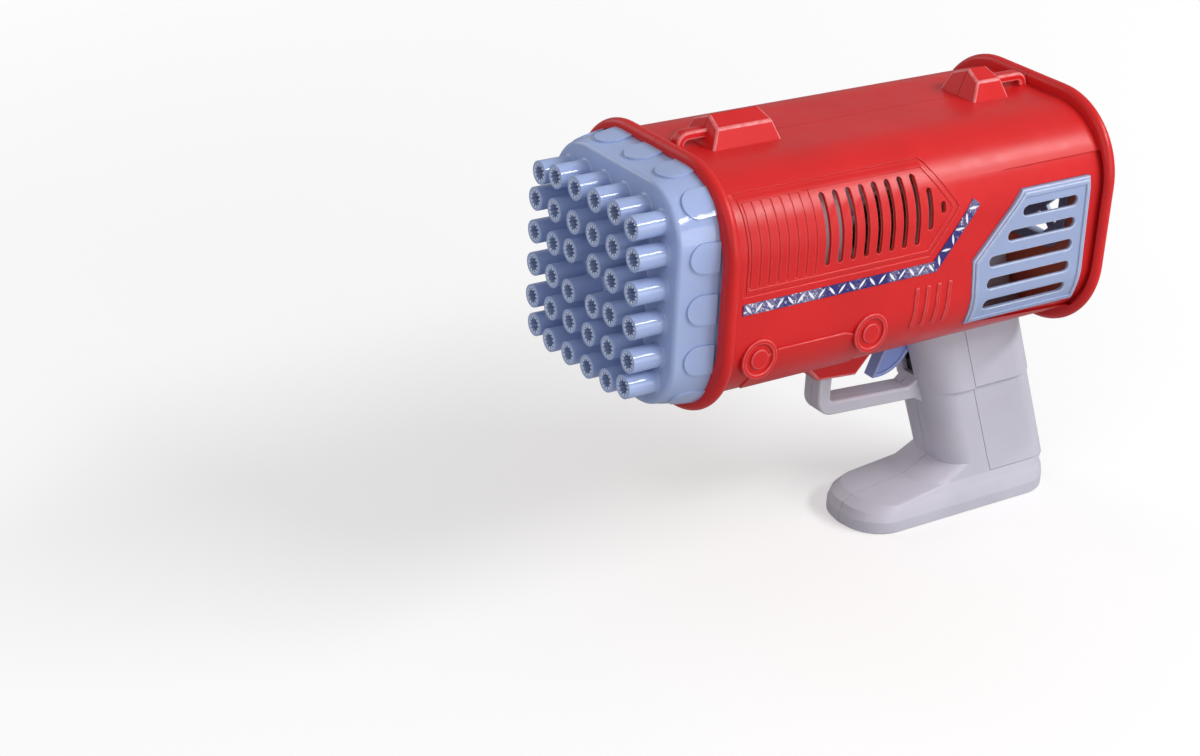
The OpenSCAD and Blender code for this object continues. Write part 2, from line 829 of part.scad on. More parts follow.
// Printed strip that follows the barrel's side, level and then rising
module strip() {
    turn = strip_w / 2 * tan(strip_angle / 2);
    knee = panel_x + strip_len;
    rise = [cos(strip_angle), sin(strip_angle)];
    across = [-sin(strip_angle), cos(strip_angle)] * strip_w / 2;
    tip = [knee, strip_z] + strip_leg * rise;
    intersection() {
        left_layer(0, strip_t);
        along_y(-far, 0)
            polygon([
                [panel_x, strip_z - strip_w / 2], [knee + turn, strip_z - strip_w / 2], tip - across,
                tip + across, [knee - turn, strip_z + strip_w / 2], [panel_x, strip_z + strip_w / 2]
            ]);
    }
}
module left_strip() {
    color("slateblue") set_down() strip();
}
module right_strip() {
    color("slateblue") set_down() mirror([0, 1, 0]) strip();
}

// Outline of the rear grille grown by g, between two stations
module grille_span(x0, x1, g) {
    translate([0, 0, grille_mid]) along_x(x0, x1)
        rounded(grille_w + 2 * g, grille_h + 2 * g, grille_r + g);
}

// Crossed bars of the rear grille
module lattice_bars() {
    reach = ceil((grille_w + grille_h) / grille_pitch / 2);
    for (turn = [-45, 45], k = [-reach : reach])
        rotate(turn) translate([(k + 0.5) * grille_pitch, 0]) square([grille_bar, far], center = true);
}

// Lattice panel in the rear wall, held by its lips when the halves close around it
module rear_grille() {
    hole = -fit_gap - grille_frame;
    color(light_blue) set_down() difference() {
        union() {
            grille_span(grille_in - grille_lip_t, grille_out + grille_lip_t, -fit_gap);
            grille_span(grille_in - grille_lip_t, grille_in, grille_lip);
            grille_span(grille_out, grille_out + grille_lip_t, grille_lip);
        }
        translate([0, 0, grille_mid]) along_x(grille_in - far / 9, grille_out + far / 9) difference() {
            rounded(grille_w + 2 * hole, grille_h + 2 * hole, grille_r + hole);
            lattice_bars();
        }
        grille_span(grille_in - far / 9, grille_out - 1.4, hole);
        grille_span(grille_out + 0.5, grille_out + far / 9, hole);
    }
}

// Places of the nozzles: a square field with its corners drawn in and its middle four spread
function nozzle_spot(i, j) =
    let (half = (nozzle_rows - 1) / 2, y = (i - half) * nozzle_pitch, z = (j - half) * nozzle_pitch,
        edge = half * nozzle_pitch,
        is_corner = abs(y) == edge && abs(z) == edge,
        is_middle = abs(y) < nozzle_pitch && abs(z) < nozzle_pitch)
    [y, z] + (is_middle ? middle_spread : is_corner ? -corner_draw : 0) * [sign(y), sign(z)];
nozzle_spots = [for (i = [0 : nozzle_rows - 1], j = [0 : nozzle_rows - 1]) nozzle_spot(i, j)];

// Tapered rounded block from the plate to the rim, grown by g, with its own straight tail
module head_form(g, x0) {
    half_w = head_w / 2 - head_corner_r;
    half_h = head_h / 2 - head_corner_r;
    r_rear = head_corner_r + g;
    r_front = head_corner_r - head_taper + g;
    x1 = x_front - rim_d / 2;
    along_y(-half_w, half_w) polygon([
        [x0, -half_h - r_front], [x1, -half_h - r_rear], [x1, half_h + r_rear], [x0, half_h + r_front]
    ]);
    translate([0, 0, -half_h]) linear_extrude(2 * half_h) polygon([
        [x0, -half_w - r_front], [x1, -half_w - r_rear], [x1, half_w + r_rear], [x0, half_w + r_front]
    ]);
    for (sy = [-1, 1], sz = [-1, 1]) translate([x0, sy * half_w, sz * half_h])
        rotate([0, 90, 0]) cylinder(r1 = r_front, r2 = r_rear, h = x1 - x0);
}

// Front of the head: a plate whose edge is fully rounded into the skirt
module head_front() {
    r = head_corner_r - head_taper - head_edge_r;
    half_w = head_w / 2 - head_taper - head_edge_r;
    half_h = head_h / 2 - head_taper - head_edge_r;
    x0 = x_plate + head_edge_r;
    translate([x0, 0, 0]) round_edge(half_w, half_h, r, 2 * head_edge_r);
    along_x(x_plate, x0 + head_edge_r) rounded(2 * half_w, 2 * half_h, r);
}

// Raised tongues: three on each flat side and one on each corner
module tongues() {
    half_w = head_w / 2 - head_corner_r;
    half_h = head_h / 2 - head_corner_r;
    spread = (head_corner_r * PI / 2 + half_w + half_h) / 4;
    flat_out = head_corner_r + 6;
    intersection() {
        head_form(tongue_rise, x_plate + head_edge_r);
        union() {
            for (s = [-1, 1]) {
                for (t = [-1 : 1]) {
                    translate([0, s * half_w, t * spread]) rotate([s < 0 ? 180 : 0, 0, 0]) tongue(flat_out);
                    translate([0, t * spread, s * half_h]) rotate([90 * s, 0, 0]) tongue(flat_out);
                }
                for (t = [-1, 1]) translate([0, s * half_w, t * half_h])
                    rotate([s > 0 ? (t > 0 ? 45 : -45) : (t > 0 ? 135 : 225), 0, 0]) tongue(flat_out);
            }
        }
    }
}

// A tongue outline, round at its front, run out along +y
module tongue(reach) {
    x1 = x_front - rim_d / 2;
    x0 = x1 - tongue_len;
    along_y(head_corner_r - head_taper - 4, reach) {
        translate([x0 + tongue_w / 2, -tongue_w / 2]) square([tongue_len - tongue_w / 2, tongue_w]);
        translate([x0 + tongue_w / 2, 0]) circle(d = tongue_w);
    }
}

// Section of a nozzle's tip: a tube with ribs standing into its bore
module nozzle_tip_section() {
    difference() {
        circle(d = nozzle_d);
        difference() {
            circle(d = nozzle_bore);
            for (k = [0 : rib_count - 1]) rotate(360 * k / rib_count)
                translate([nozzle_bore / 2 - rib_h, -rib_w / 2]) square([rib_h + bite, rib_w]);
        }
    }
}

// Rounded root of a nozzle, sunk a hair into the plate and the nozzle that it joins
module nozzle_root() {
    sunk = 0.02;
    translate([x_plate, 0, 0]) rotate([0, -90, 0]) rotate_extrude() difference() {
        translate([nozzle_d / 2 - bite, -bite]) square(root_r + bite);
        translate([nozzle_d / 2 + root_r - sunk, root_r - sunk]) circle(root_r);
    }
}

module nozzle_head() {
    tail_x = x_front + flange_t / 2;
    x_edge = x_plate + head_edge_r;
    color(light_blue) set_down() difference() {
        union() {
            difference() {
                union() {
                    head_form(0, x_edge);
                    head_front();
                    tongues();
                    along_x(x_front - rim_d / 2, tail_x) rounded(head_w, head_h, head_corner_r);
                    along_x(x_front - flange_t / 2, tail_x)
                        rounded(head_w + 2 * flange_out, head_h + 2 * flange_out, head_corner_r + flange_out);
                }
                along_x(x_plate + head_wall, x_front + rim_d)
                    rounded(head_w - 2 * head_taper - 2 * head_wall, head_h - 2 * head_taper - 2 * head_wall,
                        head_corner_r - head_taper - head_wall);
                along_x(x_sleeve - 1, x_front + rim_d)
                    rounded(sleeve_w + 2 * fit_gap, sleeve_h + 2 * fit_gap, sleeve_r + fit_gap);
            }
            for (p = nozzle_spots) translate([0, p[0], p[1]]) {
                along_x(rib_len, x_plate + bite) circle(d = nozzle_d);
                nozzle_root();
            }
            along_x(x_plate + head_wall - bite, x_plate + head_wall + lamp_post_len) circle(lamp_post_r);
        }
        for (p = nozzle_spots)
            translate([0, p[0], p[1]]) along_x(rib_len - 1, x_plate + head_wall + 1) circle(d = nozzle_bore);
        along_x(0, far / 2) circle(d = lamp_d + 2 * fit_gap);
    }
    color(light_blue) set_down()
        for (p = nozzle_spots) translate([0, p[0], p[1]]) along_x(0, rib_len) nozzle_tip_section();
}

// Grip frame: origin on the grip's axis at the barrel's underside, z up the axis
module grip_frame() {
    translate([x_grip, 0, z_under]) rotate([0, -grip_rake, 0]) children();
}

// Raked column of a rounded section, between two levels that stay flat to the ground
module raked(d, w, r, z0, z1) {
    intersection() {
        grip_frame() translate([0, 0, -far / 2]) linear_extrude(far) rounded(d, w, r);
        translate([-far, -far, z0]) cube([3 * far, 2 * far, z1 - z0]);
    }
}

// A thin level slice of the foot at height z, from a front station to a rear one
module foot_slice(z, x0, x1, w, r) {
    translate([(x0 + x1) / 2, 0, z]) linear_extrude(0.01) rounded(x1 - x0, w, r, $fn = 32);
}

// Front of the lower grip at a level
function grip_front(z) = x_grip + (z_under - z) * tan(grip_rake) - grip_d / 2 / cos(grip_rake);
function grip_rear(z) = grip_front(z) + grip_d / cos(grip_rake);

// The foot: an upright edge, a rounded shoulder and a ramp from the toe up to the grip
module foot() {
    foot_r = 16;
    z_edge = z_sole + foot_edge;
    z_ramp = z_sole + 11;
    z_join = z_sole + 20;
    z_hollow = (z_ramp + z_join) / 2 - 1.5;
    toe_hollow = 0.68 * grip_front(z_join) + 0.32 * (x_toe + 5);
    translate([(x_toe + x_heel) / 2, 0, z_sole]) linear_extrude(foot_edge) rounded(foot_len, foot_w, foot_r);
    hull() {
        foot_slice(z_edge - 0.02, x_toe, x_heel, foot_w, foot_r);
        foot_slice(z_edge + 3.5, x_toe + 1.5, x_heel - 0.6, foot_w - 1.6, foot_r - 1);
        foot_slice(z_ramp, x_toe + 6, x_heel - 2, foot_w - 4, foot_r - 2.5);
    }
    hull() {
        foot_slice(z_ramp - 0.02, x_toe + 6, x_heel - 2, foot_w - 4, foot_r - 2.5);
        foot_slice(z_hollow, toe_hollow, max(grip_rear(z_hollow), x_heel - 3), grip_w + 1, 12);
    }
    hull() {
        foot_slice(z_hollow - 0.02, toe_hollow, max(grip_rear(z_hollow), x_heel - 3), grip_w + 1, 12);
        foot_slice(z_join, grip_front(z_join), grip_rear(z_join), grip_w, grip_r);
    }
}

// Trigger guard: a leg from the nose, a round corner and a bar back to the grip
module guard() {
    x0 = x_grip - guard_reach;
    low = z_under - guard_drop;
    bend = guard_t + 2;
    heel = grip_front(low);
    along_y(-guard_half_w, guard_half_w) {
        polygon([
            [x0, low + bend], [x0 + guard_t, low + bend], [x0 + guard_t, nose_low(x0 + guard_t)],
            [x0, nose_low(x0)]
        ]);
        translate([x0 + bend, low + bend]) intersection() {
            difference() {
                circle(bend);
                circle(bend - guard_t);
            }
            translate([-bend, -bend]) square(bend);
        }
        polygon([
            [x0 + bend, low], [heel - 3, low - guard_fall], [heel + 2, low - guard_fall - guard_flare],
            [heel + 7, low - guard_fall - guard_flare], [heel + 7, low + guard_t - guard_fall + guard_flare],
            [heel - 2.5, low + guard_t - guard_fall + guard_flare], [heel - 6.4, low + guard_t - guard_fall],
            [x0 + bend, low + guard_t]
        ]);
    }
}

// The whole outside of the grip with its neck
module grip_form() {
    raked(grip_d, grip_w, grip_r, z_sole + 14, z_under + neck_rise);
    raked(grip_d + 2 * swell_deep, grip_w + 2 * swell, grip_r + swell, z_under - swell_drop, z_under);
    foot();
}

// Rear zone of the grip that the battery cover takes, grown by g
module cover_zone(g) {
    intersection() {
        grip_frame() translate([cover_seam - g, -far / 2, -far / 2]) cube([far, far, far]);
        translate([-far, -far, z_cover_low - g]) cube([3 * far, 2 * far, z_cover_top - z_cover_low + 2 * g]);
    }
}

// Hollow of the grip for the batteries, with a level floor and a wall left at the heel
module battery_bay() {
    intersection() {
        raked(bay_d, bay_w, bay_r, z_floor, z_under + neck_rise - wall);
        translate([x_heel - wall - far, -far / 2, z_sole]) cube(far);
    }
}

// Way through the barrel for the neck
module neck_hole() {
    intersection() {
        raked(grip_d + 2 * fit_gap, grip_w + 2 * fit_gap, grip_r + fit_gap, z_under - 1, z_under + wall + 1);
        translate([x_neck_rear + fit_gap - far, -far / 2, -far / 2]) cube(far);
    }
}

// Slot that the trigger swings in
module trigger_slot() {
    half = trigger_w / 2 + trigger_gap;
    along_y(-half, half)
        translate([x_blade_front - 1.6, z_tip - 3]) square([x_switch + 5 - x_blade_front, z_pivot - z_tip + 2]);
}

// One half of the grip, drawn as the left one; open_side takes the screw heads
module grip_half(open_side) {
    chamfer_x = grip_rear(z_under + neck_rise) - 6;
    difference() {
        intersection() {
            union() {
                difference() {
                    union() {
                        grip_form();
                        raked(grip_d + 2 * neck_lip, grip_w + 2 * neck_lip, grip_r + neck_lip,
                            z_under + wall + 0.2, z_under + wall + 0.2 + neck_lip_t);
                        guard();
                    }
                    battery_bay();
                    cover_zone(fit_gap);
                    trigger_slot();
                }
                grip_fittings();
            }
            left_side();
        }
        along_y(-far, far) polygon([
            [chamfer_x, z_under + neck_rise + 1], [chamfer_x + 20, z_under + neck_rise - neck_chamfer - 3],
            [chamfer_x + 20, z_under + neck_rise + 1]
        ]);
        translate([x_neck_rear, -far / 2, z_under]) cube(far);
        translate([x_rear - rim_d / 2 - fit_gap, -far / 2, z_under - rim_rise - 2 * fit_gap]) cube(far);
        for (p = grip_screw_spots) translate([p[0], 0, p[1]]) {
            if (open_side) {
                along_y(-far, -grip_screw_seat) circle(d = screw_head_d + 2 * fit_gap);
                along_y(-far, 1) circle(d = screw_d + 2 * shaft_gap);
            } else {
                along_y(grip_screw_seat - grip_screw_len - 2, 1) circle(d = screw_d);
            }
        }
        translate([x_cover_lug - 1, 0, cover_screw_z]) rotate([0, 90, 0])
            cylinder(d = screw_d + 2 * shaft_gap, h = cover_lug_len + 2);
    }
}

// Inside the grip: cradle for the switch, seat for the spring, the upper screw's boss and the cover's lug
module grip_fittings() {
    shelf_y = switch_size[1] / 2 + 0.1;
    for (s = [-1, 1]) {
        y0 = s > 0 ? shelf_y : -bay_w / 2 - bite;
        along_y(y0, y0 + bay_w / 2 + bite - shelf_y)
            translate([x_switch, z_switch - switch_size[2] / 2]) square([switch_size[0], switch_size[2]]);
    }
    along_y(-bay_w / 2 - bite, bay_w / 2 + bite)
        translate([x_spring + spring_len + 0.1, z_spring - spring_d / 2 - 1]) square([spring_seat_t, spring_d + 2]);
    upper = grip_screw_spots[2];
    along_y(-bay_w / 2 - bite, bay_w / 2 + bite) translate(upper) circle(d = boss_d);
    along_y(-5, 5) translate([x_cover_lug, z_floor - bite])
        square([cover_lug_len, cover_screw_z - z_floor + 3 + bite]);
}

module left_grip() {
    color(pale_grey) set_down() grip_half(false);
}
module right_grip() {
    color(pale_grey) set_down() mirror([0, 1, 0]) grip_half(true);
}

// Rear shell of the grip, with a tube that its screw passes through
module battery_cover() {
    x_wall = grip_rear(cover_screw_z);
    x_tube = x_cover_lug + cover_lug_len + fit_gap;
    color(pale_grey) set_down() difference() {
        intersection() {
            union() {
                difference() {
                    grip_form();
                    battery_bay();
                }
                translate([x_tube, 0, cover_screw_z]) rotate([0, 90, 0]) cylinder(d = 7, h = x_wall - x_tube - 1);
            }
            cover_zone(0);
        }
        translate([0, 0, cover_screw_z]) rotate([0, 90, 0]) cylinder(d = screw_d + 2 * shaft_gap, h = far);
        translate([x_wall - 3, 0, cover_screw_z]) rotate([0, 90, 0])
            cylinder(d = screw_head_d + 2 * fit_gap, h = far);
    }
}

// Screw along +x with its head's seat at the origin
module screw(len) {
    rotate([0, -90, 0]) cylinder(d = screw_d, h = len);
    rotate([0, 90, 0]) cylinder(d = screw_head_d, h = screw_head_h);
    translate([-bite, 0, 0]) rotate([0, 90, 0]) cylinder(d = screw_d, h = 2 * bite);
}

module battery_cover_screw() {
    color(steel) set_down()
        translate([grip_rear(cover_screw_z) - 3, 0, cover_screw_z]) screw(cover_screw_len);
}

// Tray that holds the batteries in a row: a channel open to the rear, with a plate at each end
module battery_tray() {
    color(dark_grey) set_down() grip_frame() translate([0, 0, tray_top - tray_len]) difference() {
        union() {
            linear_extrude(tray_len) intersection() {
                rounded(tray_d, tray_w, bay_r - fit_gap);
                square([tray_d, channel_w + 2 * tray_wall], center = true);
            }
            for (z = [0, tray_len - tray_t]) translate([0, 0, z])
                linear_extrude(tray_t) rounded(tray_d, tray_w, bay_r - fit_gap);
        }
        translate([-tray_d / 2 + tray_wall, -channel_w / 2, tray_t])
            cube([tray_d, channel_w, tray_len - 2 * tray_t]);
    }
}

// Places of the batteries along the row
function cell_x(i) = tray_d / 2 - row_end - cell_d / 2 - (cell_count - 1 - i) * cell_step;
function cell_y(i) = (i % 2 == 0 ? -1 : 1) * stagger / 2;
cell_z = tray_top - tray_len + tray_t + contact_t + 0.2;

module batteries() {
    color("goldenrod") set_down() grip_frame()
        for (i = [0 : cell_count - 1]) translate([cell_x(i), cell_y(i), cell_z + (i % 2 == 0 ? 0 : nub_h)]) {
            cylinder(d = cell_d, h = cell_len);
            translate([0, 0, i % 2 == 0 ? cell_len - bite : -nub_h]) cylinder(d = nub_d, h = nub_h + bite);
        }
}

// Contact plates on both end plates, each joining the ends that it bridges
module battery_contacts() {
    plate = cell_d - 4;
    plate_w = plate + stagger;
    low = tray_top - tray_len + tray_t;
    high = tray_top - tray_t - contact_t;
    color(steel) set_down() grip_frame() {
        for (i = [0 : 2 : cell_count - 1]) {
            bridge = i + 1 < cell_count ? cell_step : 0;
            translate([cell_x(i) - plate / 2, -plate_w / 2, low]) cube([plate + bridge, plate_w, contact_t]);
        }
        translate([cell_x(0) - plate / 2, -plate_w / 2, high]) cube([plate, plate_w, contact_t]);
        if (cell_count > 2)
            translate([cell_x(1) - plate / 2, -plate_w / 2, high]) cube([plate + cell_step, plate_w, contact_t]);
    }
}

// Outline of the trigger's blade, drawn in by g: a leaning finger face and a round belly behind the tip
module blade(g) {
    shoulder = z_under - blade_shoulder;
    lean = blade_lean / (shoulder - z_tip);
    face = x_blade_front + blade_lean + g * 1.1;
    difference() {
        polygon([
            [x_pivot - hub_trigger_r * 0.98 + 2 * g, z_pivot - 0.5 - 4 * g], [face, shoulder],
            [face - lean * (shoulder - z_tip - g), z_tip + g], [x_blade_rear - g, z_tip + g],
            [x_blade_rear - g, z_blade_high - g], [x_pivot + hub_trigger_r - 2 * g, z_pivot - 1 - 4 * g]
        ]);
        difference() {
            translate([x_belly, z_tip - 1]) square([x_blade_rear - x_belly + 1, z_blade_low + g - z_tip + 1]);
            translate([x_belly, z_tip + belly_r]) circle(belly_r - g);
        }
    }
}

// Trigger: a hub on the pin and a blade whose sides are hollowed inside a raised border
module trigger() {
    color(light_blue) set_down() difference() {
        along_y(-trigger_w / 2, trigger_w / 2) {
            translate([x_pivot, z_pivot]) circle(hub_trigger_r);
            blade(0);
        }
        for (s = [-1, 1]) {
            y0 = s > 0 ? trigger_w / 2 - blade_hollow : -trigger_w / 2 - 1;
            along_y(y0, y0 + blade_hollow + 1) blade(blade_border);
        }
        translate([x_pivot, 0, z_pivot]) along_y(-trigger_w, trigger_w) circle(d = pin_d + 2 * shaft_gap);
    }
}

module trigger_pin() {
    color(steel) set_down() translate([x_pivot, 0, z_pivot])
        along_y(0.2 - pin_len / 2, pin_len / 2 - 0.2) circle(d = pin_d);
}

// Return spring: a round wire wound along x, with a flat turn's worth of rise at each end
function spring_point(t, side, sides) =
    let (ring = (spring_d - spring_wire) / 2, a = 360 * spring_turns * t,
        lean = 360 * side / sides, out = ring + spring_wire / 2 * cos(lean),
        run = spring_wire / 2 + (spring_len - spring_wire) * t)
    [run + spring_wire / 2 * sin(lean), out * cos(a), out * sin(a)];
module trigger_spring() {
    sides = 6;
    steps = 12 * spring_turns;
    points = [for (i = [0 : steps], k = [0 : sides - 1]) spring_point(i / steps, k, sides)];
    walls = [for (i = [0 : steps - 1], k = [0 : sides - 1])
        let (a = i * sides + k, b = i * sides + (k + 1) % sides)
        each [[a, b, b + sides], [a, b + sides, a + sides]]];
    caps = [for (k = [1 : sides - 2])
        each [[0, k + 1, k], [steps * sides, steps * sides + k, steps * sides + k + 1]]];
    color(steel) set_down() translate([x_spring, 0, z_spring]) polyhedron(points, concat(walls, caps));
}

// Push switch: a small case with a bore for its button
module switch_body() {
    color(dark_grey) set_down() difference() {
        translate([x_switch, -switch_size[1] / 2, z_switch - switch_size[2] / 2]) cube(switch_size);
        translate([x_switch - 1, 0, z_switch]) rotate([0, 90, 0])
            cylinder(d = button_d + 2 * shaft_gap, h = 1 + button_in + button_travel + 0.5);
    }
}
module switch_button() {
    color(red) set_down() translate([x_switch - button_out, 0, z_switch]) rotate([0, 90, 0])
        cylinder(d = button_d, h = button_out + button_in);
}

// Outline of the blower case: a drum with its outlet running forwards at the top, grown by g
module blower_outline(g) {
    translate([x_blower, z_blower]) circle(blower_r + g);
    translate([x_outlet, outlet_low - g]) square([x_blower - x_outlet, outlet_h + 2 * g]);
}

// Half of the blower case on the left of the mid-plane, open in the middle
module blower_half() {
    difference() {
        union() {
            along_y(-blower_w / 2, -seam_gap / 2) blower_outline(0);
            for (a = lug_angles) translate([x_blower, 0, z_blower]) rotate([0, -a, 0])
                translate([blower_r + lug_r - 1, 0, 0]) along_y(-lug_t, -seam_gap / 2) {
                    circle(lug_r);
                    translate([-lug_r - 2, -lug_r]) square([lug_r + 2, 2 * lug_r]);
                }
        }
        along_y(blower_wall - blower_w / 2, 1) intersection() {
            blower_outline(-blower_wall);
            translate([x_outlet - 1, -far / 2]) square([far, far]);
        }
        along_y(blower_wall - blower_w / 2, 1)
            translate([x_outlet - 1, outlet_low + blower_wall]) square([4, outlet_h - 2 * blower_wall]);
        for (a = lug_angles) translate([x_blower, 0, z_blower]) rotate([0, -a, 0])
            translate([blower_r + lug_r - 1, 0, 0]) along_y(-lug_t - 1, 1) circle(d = lug_screw_d + 2 * shaft_gap);
    }
}
module blower_case_left() {
    color(pale_grey) blower_down() difference() {
        union() {
            blower_half();
            translate([x_blower, 0, z_blower]) along_y(-blower_w / 2 - 2, -blower_w / 2 + bite) circle(intake_r + 1.6);
        }
        translate([x_blower, 0, z_blower]) along_y(-far, 0) circle(intake_r);
    }
}
module blower_case_right() {
    cup_r = motor_d / 2 + 0.1;
    color(pale_grey) blower_down() difference() {
        union() {
            mirror([0, 1, 0]) blower_half();
            translate([x_blower, 0, z_blower])
                along_y(blower_w / 2 - bite, motor_y + motor_cup) circle(cup_r + motor_cup_t);
        }
        translate([x_blower, 0, z_blower]) {
            along_y(motor_y, far) circle(cup_r);
            along_y(0, far) circle(4);
        }
    }
}

// Impeller: back disc, hub and a ring of curved blades
module impeller() {
    r = impeller_d / 2;
    y0 = impeller_w / 2;
    color("ivory") blower_down() translate([x_blower, 0, z_blower]) difference() {
        union() {
            along_y(y0 - disc_t, y0) circle(r);
            along_y(-4, y0) circle(hub_r);
            for (i = [0 : blade_count - 1]) rotate([0, 360 * i / blade_count, 0])
                along_y(-y0, y0 - disc_t + 0.2) intersection() {
                    translate([r - blade_arc_r + 0.2, blade_arc_r - 3]) difference() {
                        circle(blade_arc_r);
                        circle(blade_arc_r - blade_t);
                    }
                    translate([r - 8, -6]) square([7.8, 5.4]);
                }
        }
        along_y(-far / 2, far / 2) circle(d = shaft_d + 0.02);
    }
}

module motor_shaft() {
    color(steel) blower_down() translate([x_blower, 0, z_blower]) along_y(-3.5, motor_y + 10) circle(d = shaft_d);
}

// Motor can with two flats, a bearing nose and two tags
module motor() {
    color(steel) blower_down() translate([x_blower, 0, z_blower]) difference() {
        union() {
            along_y(motor_y, motor_y + motor_len) intersection() {
                circle(d = motor_d);
                square([motor_d, motor_flat], center = true);
            }
            along_y(motor_y - 1.4, motor_y + bite) circle(3);
        }
        along_y(0, motor_y + 10.5) circle(d = shaft_d + 2 * shaft_gap);
    }
}

// Plenum: a wide box behind the head, sleeved into it, that the blower's outlet opens into
module air_plenum() {
    color(pale_grey) set_down() difference() {
        union() {
            along_x(x_sleeve, x_plenum + plenum_t) rounded(sleeve_w, sleeve_h, sleeve_r);
            along_x(x_plenum, x_plenum_end) rounded(plenum_w, plenum_h, plenum_r);
        }
        along_x(x_sleeve - 1, x_plenum)
            rounded(sleeve_w - 2 * plenum_t, sleeve_h - 2 * plenum_t, sleeve_r - plenum_t);
        along_x(x_plenum - 1, x_plenum_end - plenum_t)
            rounded(plenum_w - 2 * plenum_t, plenum_h - 2 * plenum_t, plenum_r - plenum_t);
        translate([x_plenum_end - plenum_t - 1, y_blower - blower_w / 2 - fit_gap, outlet_low - fit_gap])
            cube([far, blower_w + 2 * fit_gap, outlet_h + 2 * fit_gap]);
    }
}

// Lamp in the middle hole of the head, and its board behind the plate
module led_board() {
    x0 = x_plate + head_wall + lamp_post_len;
    color("seagreen") set_down() along_x(x0, x0 + board_t) circle(board_r);
}
module led() {
    x0 = x_plate + head_wall + lamp_post_len;
    color("white") set_down() {
        along_x(x_plate + 2, x0) circle(d = lamp_d);
        translate([x_plate + 2, 0, 0]) intersection() {
            sphere(d = lamp_d);
            translate([-lamp_d, -lamp_d, -lamp_d]) cube([lamp_d + 0.1, 2 * lamp_d, 2 * lamp_d]);
        }
    }
}

// Screws of the barrel, all driven from the right
module housing_screws() {
    color(steel) set_down() for (p = boss_spots)
        translate([p[0], screw_seat, p[1]]) rotate([0, 0, 90]) screw(screw_len);
}
module grip_screws() {
    color(steel) set_down() for (p = grip_screw_spots)
        translate([p[0], grip_screw_seat, p[1]]) rotate([0, 0, 90]) screw(grip_screw_len);
}
module blower_screws() {
    color(steel) blower_down() for (a = lug_angles)
        translate([x_blower, lug_t, z_blower]) rotate([0, -a, 0]) translate([blower_r + lug_r - 1, 0, 0])
            rotate([0, 0, 90]) {
                rotate([0, -90, 0]) cylinder(d = lug_screw_d, h = lug_screw_len);
                rotate([0, 90, 0]) cylinder(d = lug_head_d, h = lug_head_h);
            }
}

left_housing();
right_housing();
nozzle_head();
left_vent_panel();
right_vent_panel();
left_strip();
right_strip();
rear_grille();
left_grip();
right_grip();
battery_cover();
battery_cover_screw();
battery_tray();
batteries();
battery_contacts();
trigger();
trigger_pin();
trigger_spring();
switch_body();
switch_button();
blower_case_left();
blower_case_right();
impeller();
motor_shaft();
motor();
air_plenum();
led_board();
led();
housing_screws();
grip_screws();
blower_screws();
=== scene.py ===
"""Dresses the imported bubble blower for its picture.

The CAD nodes keep their places.  Moulded pieces get copies with softened edges, the strips get a map for
their print, the spring and the screws are modelled anew, every piece gets its finish, and a plain studio
and the camera close the scene.
"""
import logging
import math
from dataclasses import dataclass, field
from enum import Enum

import bmesh
import bpy
from mathutils import Euler, Matrix, Vector


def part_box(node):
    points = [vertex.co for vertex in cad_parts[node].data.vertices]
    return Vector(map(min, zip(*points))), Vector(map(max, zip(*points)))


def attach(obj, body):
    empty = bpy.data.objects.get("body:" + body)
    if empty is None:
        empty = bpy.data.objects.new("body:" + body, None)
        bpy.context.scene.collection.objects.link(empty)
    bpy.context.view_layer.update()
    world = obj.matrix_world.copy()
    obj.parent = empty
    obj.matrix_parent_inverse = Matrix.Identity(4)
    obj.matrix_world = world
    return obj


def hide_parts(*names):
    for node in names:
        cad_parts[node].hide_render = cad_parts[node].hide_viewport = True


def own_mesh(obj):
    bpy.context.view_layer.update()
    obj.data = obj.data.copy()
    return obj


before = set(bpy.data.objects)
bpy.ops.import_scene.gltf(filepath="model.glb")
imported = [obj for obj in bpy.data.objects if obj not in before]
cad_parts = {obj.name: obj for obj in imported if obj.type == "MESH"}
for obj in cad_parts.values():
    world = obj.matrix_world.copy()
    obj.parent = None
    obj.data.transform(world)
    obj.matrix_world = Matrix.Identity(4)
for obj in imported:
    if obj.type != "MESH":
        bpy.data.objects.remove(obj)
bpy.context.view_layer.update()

LOG = logging.getLogger("bubble_blower")
MM = 0.001
EVERYWHERE = 1000.0
# Vertices nearer than this are one, and faces that meet flatter than this are one.
MERGE_MM = 0.002
FLAT_DEG = 0.25
SMOOTH_DEG = 35.0
# Attribute of the faces that carry a painted highlight: the faces of a bevel that have so few sides and are
# so narrow, as a share of the bevel's width.
PAINTED_EDGE_LIGHT = "painted_highlight"
PAINTED_EDGE_SIDES = 4
PAINTED_EDGE_WIDTH = 0.7
# Range that most of a noise's values lie in.
NOISE_SPAN = (0.3, 0.7)
ROUNDING_SAMPLES = 6

Point = tuple[float, float, float]
Range = tuple[float, float]
Shade = tuple[int, int, int]


class Slot(Enum):
    """Material slots of the record."""

    RED = "red_plastic"
    BLUE = "blue_plastic"
    GREY = "grey_plastic"
    STRIP = "strip_film"
    DARK = "dark_plastic"
    WHITE = "white_plastic"
    CELL = "cell_jacket"
    CAN = "motor_can"
    STEEL = "steel"
    BOARD = "board"
    LENS = "lens"


class Body(Enum):
    """Bodies that the new pieces ride on."""

    GUN = "gun"
    TRIGGER = "trigger"
    COVER = "battery_cover"


def around(middle: float, play: float) -> Range:
    """Range about a middle, by a play to either side."""
    return middle - play, middle + play


def linear(shade: Shade, factor: float = 1.0) -> tuple[float, float, float, float]:
    """Turns a screen colour into the linear one that a shader takes.

    Args:
        shade: Red, green and blue from 0 to 255.
        factor: Brightness that the linear colour is multiplied by.

    Returns:
        Linear red, green, blue and an alpha of one.
    """
    parts = [c / 255 / 12.92 if c <= 10 else ((c / 255 + 0.055) / 1.055) ** 2.4 for c in shade]
    return (*(min(1.0, p * factor) for p in parts), 1.0)


